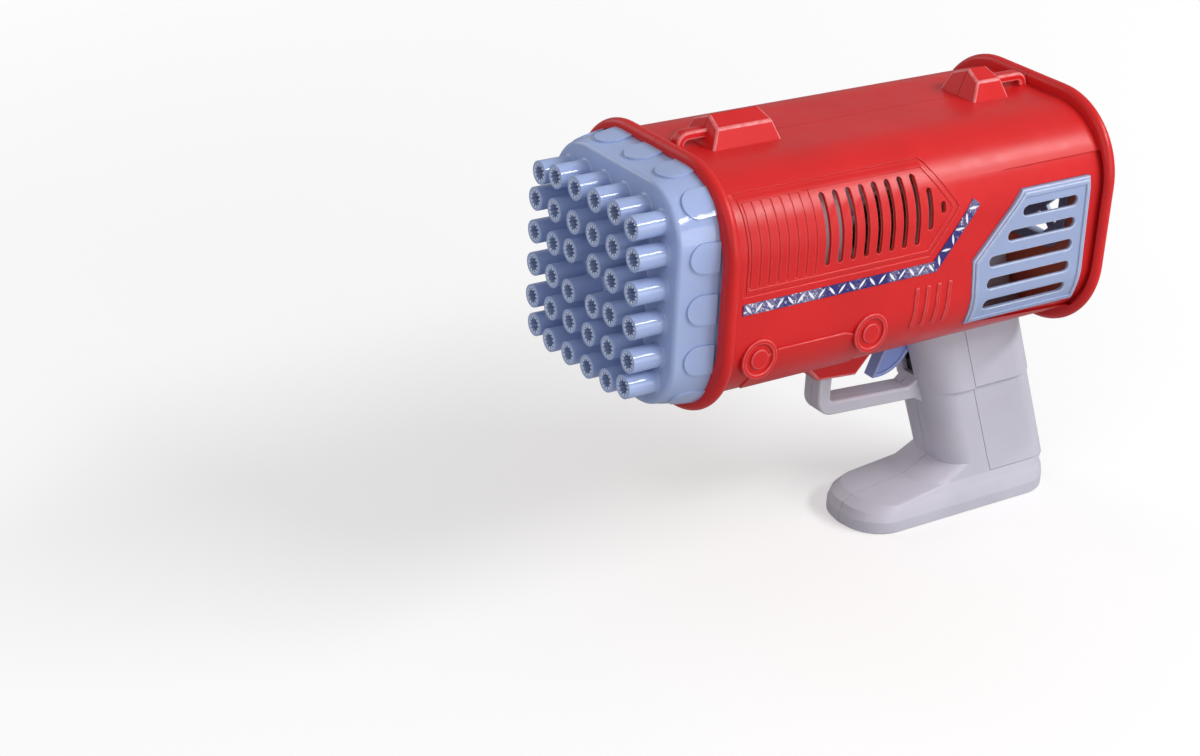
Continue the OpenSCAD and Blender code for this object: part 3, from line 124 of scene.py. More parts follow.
def take_up(piece: bpy.types.Object) -> None:
    """Selects one object alone and makes it the active one."""
    bpy.ops.object.select_all(action="DESELECT")
    piece.select_set(True)
    bpy.context.view_layer.objects.active = piece


class ShaderSheet:
    """Node tree of one material, with short calls for the nodes that the finishes share."""

    def __init__(self, name: str) -> None:
        """Starts a material with its shader and its coordinates."""
        self.material = bpy.data.materials.new(name)
        self.material.use_nodes = True
        self.nodes = self.material.node_tree.nodes
        self.links = self.material.node_tree.links
        self.shader = self.nodes["Principled BSDF"]
        coordinates = self.nodes.new("ShaderNodeTexCoord")
        self.place = coordinates.outputs["Object"]
        self.uv = coordinates.outputs["UV"]

    def feed(self, socket: bpy.types.NodeSocket, value: object) -> None:
        """Links an output to a socket, or sets a plain value on it."""
        if isinstance(value, bpy.types.NodeSocket):
            self.links.new(value, socket)
        else:
            socket.default_value = value

    def sum(self, kind: str, *values: object) -> bpy.types.NodeSocket:
        """Adds a Math node.

        Args:
            kind: The node's operation.
            *values: Numbers or outputs for its sockets.

        Returns:
            The node's output.
        """
        node = self.nodes.new("ShaderNodeMath")
        node.operation = kind
        for socket, value in zip(node.inputs, values):
            self.feed(socket, value)
        return node.outputs[0]

    def noise(self, per_mm: float, detail: float = 3.0, place: object = None) -> bpy.types.NodeSocket:
        """Adds cloudy noise.

        Args:
            per_mm: Features in a millimetre.
            detail: Octaves of finer noise.
            place: Coordinates, or None for the object's own.

        Returns:
            The noise, from 0 to 1.
        """
        node = self.nodes.new("ShaderNodeTexNoise")
        self.feed(node.inputs["Vector"], place or self.place)
        node.inputs["Scale"].default_value = per_mm / MM
        node.inputs["Detail"].default_value = detail
        return node.outputs["Fac"]

    def spread(self, value: object, low: float, high: float, new_low: float, new_high: float,
               soft: bool = False) -> bpy.types.NodeSocket:
        """Maps a value from one range to another, held at its ends.

        Args:
            value: The output to map.
            low: Start of its range.
            high: End of its range.
            new_low: What the start becomes.
            new_high: What the end becomes.
            soft: Whether the ends are eased.

        Returns:
            The mapped value.
        """
        node = self.nodes.new("ShaderNodeMapRange")
        node.interpolation_type = "SMOOTHSTEP" if soft else "LINEAR"
        for socket, number in zip(node.inputs, (value, low, high, new_low, new_high)):
            self.feed(socket, number)
        return node.outputs[0]

    def blend(self, share: object, first: object, painted_light: object) -> bpy.types.NodeSocket:
        """Mixes two colours by a share and gives the mixed colour."""
        node = self.nodes.new("ShaderNodeMix")
        node.data_type = "RGBA"
        for name, value in (("Factor_Float", share), ("A_Color", first), ("B_Color", painted_light)):
            self.feed(next(s for s in node.inputs if s.identifier == name), value)
        return next(s for s in node.outputs if s.identifier == "Result_Color")

    def placed(self, origin_mm: Point, turn_deg: Point,
               scale: Point = (1.0, 1.0, 1.0)) -> bpy.types.NodeSocket:
        """Object coordinates about an origin of their own, turned and scaled."""
        node = self.nodes.new("ShaderNodeMapping")
        node.vector_type = "TEXTURE"
        self.feed(node.inputs["Vector"], self.place)
        node.inputs["Location"].default_value = [c * MM for c in origin_mm]
        node.inputs["Rotation"].default_value = [math.radians(a) for a in turn_deg]
        node.inputs["Scale"].default_value = scale
        return node.outputs[0]

    def apart(self, vector: object) -> tuple[bpy.types.NodeSocket, ...]:
        """Splits a vector into its three parts."""
        node = self.nodes.new("ShaderNodeSeparateXYZ")
        self.feed(node.inputs[0], vector)
        return tuple(node.outputs)

    def vary(self, noise: object, low: float, high: float) -> bpy.types.NodeSocket:
        """Maps the usual values of a noise to a range."""
        return self.spread(noise, *NOISE_SPAN, low, high)

    def span(self, side: object, up: object) -> bpy.types.NodeSocket:
        """Length of a step that goes so far sideways and so far up."""
        return self.sum("SQRT", self.sum("ADD", *(self.sum("MULTIPLY", way, way) for way in (side, up))))

    def rounding(self, radius_mm: float) -> bpy.types.NodeSocket:
        """Adds the light of edges rounded to a radius, and gives the rounded normal."""
        bevel = self.nodes.new("ShaderNodeBevel")
        bevel.samples = ROUNDING_SAMPLES
        bevel.inputs["Radius"].default_value = radius_mm * MM
        return bevel.outputs[0]

    def painted_highlight(self) -> bpy.types.NodeSocket:
        """Share of painted highlight on a piece's rounded edges, which the piece carries as an attribute."""
        node = self.nodes.new("ShaderNodeAttribute")
        node.attribute_name = PAINTED_EDGE_LIGHT
        return node.outputs["Fac"]

    def bump(self, height: object, strength: float, depth_mm: float, normal: object = None) -> None:
        """Ends the tree's normal in a bump of a height, on top of another normal if one is given."""
        node = self.nodes.new("ShaderNodeBump")
        node.inputs["Strength"].default_value = strength
        node.inputs["Distance"].default_value = depth_mm * MM
        self.feed(node.inputs["Height"], height)
        if normal is not None:
            self.feed(node.inputs["Normal"], normal)
        self.feed(self.shader.inputs["Normal"], node.outputs[0])

    def settle(self, **values: object) -> None:
        """Feeds the shader's sockets by name, with spaces written as underscores."""
        for name, value in values.items():
            self.feed(self.shader.inputs[name.replace("_", " ")], value)


@dataclass(frozen=True)
class Section:
    """Rounded box that the barrel's skin follows, across its axis."""

    half_w_mm: float = 46.5
    half_h_mm: float = 42.5
    corner_mm: float = 28.0
    axis_mm: float = 130.5

    @property
    def top_mm(self) -> float:
        """Height of the barrel's top."""
        return self.axis_mm + self.half_h_mm

    @property
    def under_mm(self) -> float:
        """Height of the barrel's underside."""
        return self.axis_mm - self.half_h_mm


SECTION = Section()


@dataclass(frozen=True)
class PaintedInnerLight:
    """Painted light in the hollow of the barrel: below its skin the walls are painted paler, for the light
    that comes through them.
    """

    shade: Shade = (250, 138, 110)
    box: Section = SECTION
    ends_mm: Range = (-80.0, 85.4)
    depth_mm: Range = (1.3, 1.7)
    fade_mm: float = 0.5

    def mask(self, sheet: ShaderSheet) -> bpy.types.NodeSocket:
        """Adds the nodes that tell the inside from the outside.

        Args:
            sheet: Node tree to add to.

        Returns:
            A mask that is 1 inside.
        """
        along, side, up = sheet.apart(sheet.place)
        up = sheet.sum("SUBTRACT", up, self.box.axis_mm * MM)
        over = [sheet.sum("SUBTRACT", sheet.sum("ABSOLUTE", way), (half - self.box.corner_mm) * MM)
                for way, half in ((side, self.box.half_w_mm), (up, self.box.half_h_mm))]
        reach = sheet.span(*(sheet.sum("MAXIMUM", way, 0.0) for way in over))
        inner = sheet.sum("MINIMUM", sheet.sum("MAXIMUM", *over), 0.0)
        depth = sheet.sum("SUBTRACT", sheet.sum("SUBTRACT", self.box.corner_mm * MM, reach), inner)
        deep = sheet.spread(depth, self.depth_mm[0] * MM, self.depth_mm[1] * MM, 0.0, 1.0)
        first, last = self.ends_mm
        front = sheet.spread(along, first * MM, (first + self.fade_mm) * MM, 0.0, 1.0)
        rear = sheet.spread(along, (last - self.fade_mm) * MM, last * MM, 1.0, 0.0)
        return sheet.sum("MULTIPLY", deep, sheet.sum("MULTIPLY", front, rear))


@dataclass(frozen=True)
class ToothHighlights:
    """Painted highlights on the ends of the teeth in a nozzle's mouth, on a map whose origin is the nozzle's
    own middle.
    """

    shade: Shade = (216, 228, 255)
    reach_mm: Range = (3.15, 3.45)

    def mask(self, sheet: ShaderSheet) -> bpy.types.NodeSocket:
        """Adds the nodes that tell the teeth from the ring around them.

        Args:
            sheet: Node tree to add to.

        Returns:
            A mask that is 1 on the teeth.
        """
        side, up, _ = sheet.apart(sheet.uv)
        return sheet.spread(sheet.span(side, up), *self.reach_mm, 1.0, 0.0)


@dataclass(frozen=True)
class MouldedPlastic:
    """Injection-moulded plastic: slow colour drift, a fine grain, uneven gloss and painted highlights on its
    rounded edges.
    """

    name: str
    slot: Slot
    shade: Shade
    drift: float = 0.06
    gloss: Range = (0.29, 0.38)
    shine: float = 0.5
    grain: float = 0.03
    edge_highlight: float = 0.3
    scatter: float = 0.0
    scatter_mm: float = 1.5
    scatter_tint: Point = (1.0, 0.6, 0.5)
    painted_light: PaintedInnerLight | ToothHighlights | None = None
    drift_per_mm: float = 0.03
    highlight_per_mm: float = 0.4
    highlight_span: Range = (0.35, 0.65)
    least_highlight: float = 0.5
    highlight_whiten: float = 0.5
    gloss_per_mm: float = 0.12
    grain_per_mm: float = 0.6
    grain_mm: float = 0.05

    def make(self) -> bpy.types.Material:
        """Builds the material.

        Returns:
            The finished material.
        """
        sheet = ShaderSheet(self.name)
        cloud = sheet.vary(sheet.noise(self.drift_per_mm, detail=4.0), 0.0, 1.0)
        body = sheet.blend(cloud, linear(self.shade, 1 - self.drift), linear(self.shade, 1 + self.drift))
        # Painted highlight on the rounded edges: their attribute, varied by noise, mixes the colour towards a
        # paler shade.
        highlight_share = sheet.spread(sheet.noise(self.highlight_per_mm), *self.highlight_span,
                            self.least_highlight * self.edge_highlight, self.edge_highlight)
        highlight_shade = tuple(round(c + (255 - c) * self.highlight_whiten) for c in self.shade)
        colour = sheet.blend(sheet.sum("MULTIPLY", sheet.painted_highlight(), highlight_share), body, linear(highlight_shade))
        # Painted light inside the barrel for the red shell, and painted highlights on the nozzles' teeth for
        # the blue head.
        if self.painted_light:
            colour = sheet.blend(self.painted_light.mask(sheet), colour, linear(self.painted_light.shade))
        sheet.settle(Base_Color=colour, IOR=1.5, Specular_IOR_Level=self.shine,
                     Roughness=sheet.vary(sheet.noise(self.gloss_per_mm, detail=5.0), *self.gloss))
        if self.scatter:
            sheet.settle(Subsurface_Weight=self.scatter, Subsurface_Radius=self.scatter_tint,
                         Subsurface_Scale=self.scatter_mm * MM)
        sheet.bump(sheet.noise(self.grain_per_mm, detail=2.0), self.grain, self.grain_mm)
        return sheet.material


@dataclass(frozen=True)
class PlatedMetal:
    """Plated or drawn metal with faint streaks and uneven gloss."""

    name: str
    slot: Slot
    shade: Shade
    gloss: Range = (0.29, 0.42)
    streak_turn: Point = (0.0, 0.0, 0.0)
    streak_draw: Point = (12.0, 1.0, 1.0)
    streak_per_mm: float = 2.0
    streak_mm: float = 0.02
    streak_bump: float = 0.05
    tarnish: float = 0.86
    tarnish_per_mm: float = 0.2
    edge_mm: float = 0.15

    def make(self) -> bpy.types.Material:
        """Builds the material.

        Returns:
            The finished material.
        """
        sheet = ShaderSheet(self.name)
        drawn = sheet.placed((0, 0, 0), self.streak_turn, self.streak_draw)
        streak = sheet.noise(self.streak_per_mm, detail=4.0, place=drawn)
        tarnish = sheet.noise(self.tarnish_per_mm, detail=4.0)
        sheet.settle(Metallic=1.0, Roughness=sheet.vary(streak, *self.gloss),
                     Base_Color=sheet.blend(tarnish, linear(self.shade, self.tarnish), linear(self.shade)))
        sheet.bump(streak, self.streak_bump, self.streak_mm, sheet.rounding(self.edge_mm))
        return sheet.material


@dataclass(frozen=True)
class PrintedFilm:
    """Printed strip: an indigo ground with speckled silver patches and slanted white dashes."""

    name: str = "printed_film"
    slot: Slot = Slot.STRIP
    ground: Shade = (40, 32, 112)
    silver: Shade = (146, 142, 172)
    mark: Shade = (238, 238, 244)
    gloss: Range = (0.29, 0.42)
    step_mm: float = 4.5
    dash_len_mm: float = 4.4
    dash_w_mm: float = 0.95
    dash_edge_mm: float = 0.1
    slant_deg: float = 50.0
    patch_mm: float = 17.0
    patch_edge: Range = (0.45, 0.55)
    patch_sway: float = 0.12
    fleck_per_mm: float = 1.5
    fleck_turn: Point = (0.0, 35.0, 0.0)
    fleck_draw: Point = (2.2, 1.0, 1.0)
    fleck_span: Range = (0.42, 0.56)
    fleck_share: float = 0.8
    fleck_mm: float = 0.03
    fleck_bump: float = 0.04
    speck_per_mm: float = 1.1
    speck_span: Range = (0.6, 0.68)
    edge_mm: float = 0.12

    def make(self) -> bpy.types.Material:
        """Builds the material on the strip's own map, whose u and v are millimetres along and across it.

        Returns:
            The finished material.
        """
        sheet = ShaderSheet(self.name)
        along, across, _ = sheet.apart(sheet.uv)
        patch = sheet.nodes.new("ShaderNodeTexNoise")
        patch.noise_dimensions = "1D"
        patch.inputs["Scale"].default_value = 1 / self.patch_mm
        sheet.feed(patch.inputs["W"], along)
        drawn = sheet.placed((0, 0, 0), self.fleck_turn, self.fleck_draw)
        fleck = sheet.noise(self.fleck_per_mm, detail=4.0, place=drawn)
        bare = sheet.sum("ADD", patch.outputs["Fac"], sheet.vary(fleck, *around(0.0, self.patch_sway)))
        share = sheet.spread(bare, *self.patch_edge, 0.0, 1.0, soft=True)
        flecked = sheet.spread(fleck, *self.fleck_span, 0.0, self.fleck_share)
        foil = sheet.blend(flecked, linear(self.silver), linear(self.ground))
        specks = sheet.spread(sheet.noise(self.speck_per_mm, detail=2.0), *self.speck_span, 0.0, 1.0)
        foil = sheet.blend(specks, foil, linear(self.mark))
        ground = sheet.blend(share, linear(self.ground), foil)
        dash = self.dashes(sheet, along, across)
        sheet.settle(Base_Color=sheet.blend(dash, ground, linear(self.mark)), IOR=1.5,
                     Roughness=sheet.vary(fleck, *self.gloss))
        sheet.bump(fleck, self.fleck_bump, self.fleck_mm, sheet.rounding(self.edge_mm))
        return sheet.material

    def dashes(self, sheet: ShaderSheet, along: object, across: object) -> bpy.types.NodeSocket:
        """Adds one pointed dash to each step of the strip, leaning forwards and backwards in turn.

        Args:
            sheet: Node tree to add to.
            along: Millimetres along the strip.
            across: Millimetres across it from its middle.

        Returns:
            A mask that is 1 on the dashes.
        """
        count = sheet.sum("FLOOR", sheet.sum("DIVIDE", along, self.step_mm))
        middle = sheet.sum("MULTIPLY", sheet.sum("ADD", count, 0.5), self.step_mm)
        local = sheet.sum("SUBTRACT", along, middle)
        lean = sheet.spread(sheet.sum("FLOORED_MODULO", count, 2.0), 0.0, 1.0, -1.0, 1.0)
        turned = sheet.sum("MULTIPLY", across, lean)
        cos, sin = math.cos(math.radians(self.slant_deg)), math.sin(math.radians(self.slant_deg))
        run = sheet.sum("ADD", sheet.sum("MULTIPLY", local, cos), sheet.sum("MULTIPLY", turned, sin))
        off = sheet.sum("SUBTRACT", sheet.sum("MULTIPLY", turned, cos), sheet.sum("MULTIPLY", local, sin))
        share = sheet.sum("DIVIDE", run, self.dash_len_mm / 2)
        taper = sheet.sum("SUBTRACT", 1.0, sheet.sum("MULTIPLY", share, share))
        half = sheet.sum("MULTIPLY", taper, self.dash_w_mm / 2)
        past = sheet.sum("SUBTRACT", sheet.sum("ABSOLUTE", off), half)
        return sheet.spread(past, *around(0.0, self.dash_edge_mm), 1.0, 0.0)


@dataclass(frozen=True)
class CellJacket:
    """Printed sleeve of a dry cell: a dark body with a coppery band and bare ends."""

    name: str = "cell_jacket"
    slot: Slot = Slot.CELL
    dark: Shade = (38, 38, 44)
    copper: Shade = (186, 118, 66)
    metal: Shade = (196, 197, 200)
    gloss: Range = (0.29, 0.4)
    origin_mm: Point = (59.185, 0.0, 88.0)
    rake_deg: float = 20.0
    band_low_mm: float = -33.0
    band_edge_mm: float = 0.4
    ends_mm: Range = (-68.2, -18.6)
    end_edge_mm: float = 0.2
    scuff_per_mm: float = 0.8
    scuff_mm: float = 0.03
    scuff_bump: float = 0.03
    edge_mm: float = 0.4

    def make(self) -> bpy.types.Material:
        """Builds the material in the grip's own raked frame.

        Returns:
            The finished material.
        """
        sheet = ShaderSheet(self.name)
        height = sheet.apart(sheet.placed(self.origin_mm, (0, -self.rake_deg, 0)))[2]
        low, high = self.ends_mm
        band_top = self.band_low_mm + self.band_edge_mm
        band = sheet.spread(height, self.band_low_mm * MM, band_top * MM, 0.0, 1.0)
        foot = sheet.spread(height, low * MM, (low + self.end_edge_mm) * MM, 1.0, 0.0)
        cap = sheet.spread(height, (high - self.end_edge_mm) * MM, high * MM, 0.0, 1.0)
        bare = sheet.sum("MAXIMUM", foot, cap)
        printed = sheet.blend(band, linear(self.dark), linear(self.copper))
        scuff = sheet.noise(self.scuff_per_mm, detail=5.0)
        sheet.settle(Base_Color=sheet.blend(bare, printed, linear(self.metal)), Metallic=bare,
                     Roughness=sheet.vary(scuff, *self.gloss))
        sheet.bump(scuff, self.scuff_bump, self.scuff_mm, sheet.rounding(self.edge_mm))
        return sheet.material


@dataclass(frozen=True)
class BoardLaminate:
    """Green circuit board with a woven ground and pale pads."""

    name: str = "board_laminate"
    slot: Slot = Slot.BOARD
    green: Shade = (36, 104, 66)
    pad: Shade = (196, 190, 160)
    gloss: Range = (0.35, 0.5)
    pads_per_mm: float = 0.35
    pad_edge: Range = (0.2, 0.24)
    weave_per_mm: float = 3.0
    weave_shade: float = 0.85
    weave_mm: float = 0.03
    weave_bump: float = 0.06

    def make(self) -> bpy.types.Material:
        """Builds the material.

        Returns:
            The finished material.
        """
        sheet = ShaderSheet(self.name)
        spots = sheet.nodes.new("ShaderNodeTexVoronoi")
        sheet.feed(spots.inputs["Vector"], sheet.place)
        spots.inputs["Scale"].default_value = self.pads_per_mm / MM
        pads = sheet.spread(spots.outputs["Distance"], *self.pad_edge, 1.0, 0.0)
        weave = sheet.noise(self.weave_per_mm, detail=2.0)
        ground = sheet.blend(weave, linear(self.green, self.weave_shade), linear(self.green))
        sheet.settle(Base_Color=sheet.blend(pads, ground, linear(self.pad)),
                     Roughness=sheet.vary(weave, *self.gloss))
        sheet.bump(weave, self.weave_bump, self.weave_mm)
        return sheet.material


@dataclass(frozen=True)
class ClearLens:
    """Clear cast resin of the lamp, very slightly cloudy."""

    name: str = "clear_lens"
    slot: Slot = Slot.LENS
    shade: Shade = (238, 240, 246)
    gloss: Range = (0.05, 0.12)
    clear: float = 0.85
    haze_per_mm: float = 0.5
    haze_shade: float = 0.94
    haze_mm: float = 0.02
    haze_bump: float = 0.02

    def make(self) -> bpy.types.Material:
        """Builds the material.

        Returns:
            The finished material.
        """
        sheet = ShaderSheet(self.name)
        haze = sheet.noise(self.haze_per_mm)
        sheet.settle(Base_Color=sheet.blend(haze, linear(self.shade, self.haze_shade), linear(self.shade)),
                     IOR=1.49, Transmission_Weight=self.clear, Roughness=sheet.vary(haze, *self.gloss))
        sheet.bump(haze, self.haze_bump, self.haze_mm)
        return sheet.material


Finish = MouldedPlastic | PlatedMetal | PrintedFilm | CellJacket | BoardLaminate | ClearLens

# The edge share of each finish sets its painted highlight on rounded edges; the red shell also gets painted
# light inside the barrel, and the blue head painted highlights on its nozzles' teeth.
RED_SHELL = MouldedPlastic("red_shell", Slot.RED, (208, 34, 36), shine=0.3, edge_highlight=0.8, painted_light=PaintedInnerLight())
RED_BUTTON = MouldedPlastic("red_button", Slot.RED, (200, 26, 30))
BLUE_HEAD = MouldedPlastic("blue_head", Slot.BLUE, (164, 181, 222), gloss=(0.05, 0.09), grain=0.012,
                           scatter=0.3, scatter_mm=2.2, scatter_tint=(0.55, 0.7, 1.0), painted_light=ToothHighlights())
BLUE_VENT = MouldedPlastic("blue_vent", Slot.BLUE, (153, 168, 205), drift=0.03, edge_highlight=0.6, scatter=0.06)
BLUE_TRIGGER = MouldedPlastic("blue_trigger", Slot.BLUE, (130, 150, 212), edge_highlight=0.7, scatter=0.06)
GREY_GRIP = MouldedPlastic("grey_grip", Slot.GREY, (192, 190, 203), gloss=(0.3, 0.42), shine=0.4,
                           scatter=0.06)
DARK_INSIDE = MouldedPlastic("dark_inside", Slot.DARK, (58, 56, 62), gloss=(0.4, 0.55))
GREY_INSIDE = MouldedPlastic("grey_inside", Slot.GREY, (214, 194, 210), gloss=(0.4, 0.55))
WHITE_INSIDE = MouldedPlastic("white_inside", Slot.WHITE, (224, 222, 214), gloss=(0.32, 0.45), scatter=0.1)
FILM = PrintedFilm()
CELLS = CellJacket()
BOARD = BoardLaminate()
LENS = ClearLens()
STEEL = PlatedMetal("zinc_steel", Slot.STEEL, (196, 198, 202))
CAN = PlatedMetal("motor_can", Slot.CAN, (178, 180, 184), (0.29, 0.46), streak_turn=(0.0, 0.0, 90.0))


class Wardrobe:
    """Keeps each finish's material, so that it is built once."""

    def __init__(self) -> None:
        """Starts empty."""
        self.made: dict[str, bpy.types.Material] = {}

    def put_on(self, piece: bpy.types.Object, finish: Finish) -> None:
        """Gives a piece, or a CAD node, one finish all over."""
        if finish.name not in self.made:
            self.made[finish.name] = finish.make()
        piece.data.materials.clear()
        piece.data.materials.append(self.made[finish.name])

    def dress_node(self, node: str, finish: Finish) -> None:
        """Dresses a CAD node that keeps its own shape."""
        self.put_on(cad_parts[node], finish)
        LOG.info("node %s: %s", node, finish.name)

    def hand_over(self, piece: bpy.types.Object, nodes: tuple[str, ...], body: Body,
                  finish: Finish) -> None:
        """Dresses a new piece and puts it in the place of its CAD nodes.

        Args:
            piece: The new piece, with its place in its mesh.
            nodes: CAD nodes that it stands for.
            body: Body that it rides on.
            finish: Its finish.
        """
        self.put_on(piece, finish)
        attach(piece, body.value)
        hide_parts(*nodes)
        LOG.info("piece %s: %s, %d faces", piece.name, finish.name, len(piece.data.polygons))


@dataclass(frozen=True)
class EdgeRule:
    """Edges of a moulded piece that are rounded: those that stand out inside a box, both sides alike."""

    width_mm: float
    x_mm: Range = (-EVERYWHERE, EVERYWHERE)
    z_mm: Range = (-EVERYWHERE, EVERYWHERE)
    y_mm: Range = (0.0, EVERYWHERE)
    middle_y_mm: float = 0.0
    angle_deg: float = 32.0
    segments: int = 3
    held_back: bool = False
    # Strength of the painted highlight on the faces that this rule's bevel makes.
    highlight_share: float = 1.0

    def picks(self, edge: bmesh.types.BMEdge) -> bool:
        """Tells whether an edge stands out and lies inside the box with both its ends."""
        if len(edge.link_faces) != 2 or edge.calc_face_angle_signed(0.0) < math.radians(self.angle_deg):
            return False
        spots = [v.co / MM for v in edge.verts]
        if abs(spots[0].y + spots[1].y) / 2 < self.middle_y_mm:
            return False
        return all(self.x_mm[0] <= p.x <= self.x_mm[1] and self.y_mm[0] <= abs(p.y) <= self.y_mm[1]
                   and self.z_mm[0] <= p.z <= self.z_mm[1] for p in spots)


class MouldedCopy:
    """A copy of a CAD node that can be edited: merged, with its flat faces made whole."""

    def __init__(self, node: str) -> None:
        """Copies a node's mesh into a piece of its own and joins its loose triangles."""
        self.node = node
        self.piece = bpy.data.objects.new("moulded_" + node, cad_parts[node].data.copy())
        bpy.context.scene.collection.objects.link(self.piece)
        take_up(self.piece)
        bpy.ops.mesh.customdata_custom_splitnormals_clear()
        bpy.ops.object.mode_set(mode="EDIT")
        bpy.ops.mesh.select_all(action="SELECT")
        bpy.ops.mesh.remove_doubles(threshold=MERGE_MM * MM)
        bpy.ops.mesh.dissolve_limited(angle_limit=math.radians(FLAT_DEG))
        bpy.ops.object.mode_set(mode="OBJECT")

    def soften(self, *rules: EdgeRule) -> None:
        """Bevels the edges that each rule picks, one rule after another."""
        take_up(self.piece)
        bpy.ops.object.mode_set(mode="EDIT")
        bpy.ops.mesh.select_mode(type="EDGE")
        for rule in rules:
            bpy.ops.mesh.select_all(action="DESELECT")
            form = bmesh.from_edit_mesh(self.piece.data)
            if form.faces.layers.float.get(PAINTED_EDGE_LIGHT) is None:
                form.faces.layers.float.new(PAINTED_EDGE_LIGHT)
            form.normal_update()
            picked = [edge for edge in form.edges if rule.picks(edge)]
            for edge in picked:
                edge.select_set(True)
            bmesh.update_edit_mesh(self.piece.data)
            if picked:
                bpy.ops.mesh.bevel(offset=rule.width_mm * MM, segments=rule.segments, affect="EDGES",
                                   clamp_overlap=rule.held_back, miter_outer="ARC")
                self.mark_painted_highlight(rule)
            LOG.info("%s: %d edges rounded by %.2f mm", self.node, len(picked), rule.width_mm)
        bpy.ops.object.mode_set(mode="OBJECT")

    def mark_painted_highlight(self, rule: EdgeRule) -> None:
        """Marks the narrow faces that a bevel has just made and left selected, with the rule's painted
        highlight.
        """
        form = bmesh.from_edit_mesh(self.piece.data)
        layer = form.faces.layers.float[PAINTED_EDGE_LIGHT]
        narrow = PAINTED_EDGE_WIDTH * rule.width_mm * MM
        for face in form.faces:
            if not face.select or len(face.edges) > PAINTED_EDGE_SIDES:
                continue
            if min(edge.calc_length() for edge in face.edges) < narrow:
                face[layer] = rule.highlight_share
        bmesh.update_edit_mesh(self.piece.data)

    def smooth(self) -> bpy.types.Object:
        """Shades the copy smooth below an angle and keeps its wide faces flat.

        Returns:
            The finished piece.
        """
        take_up(self.piece)
        bpy.ops.object.shade_smooth_by_angle(angle=math.radians(SMOOTH_DEG))
        weighted = self.piece.modifiers.new("flat_faces", "WEIGHTED_NORMAL")
        weighted.keep_sharp = True
        bpy.ops.object.modifier_apply(modifier=weighted.name)
        return self.piece


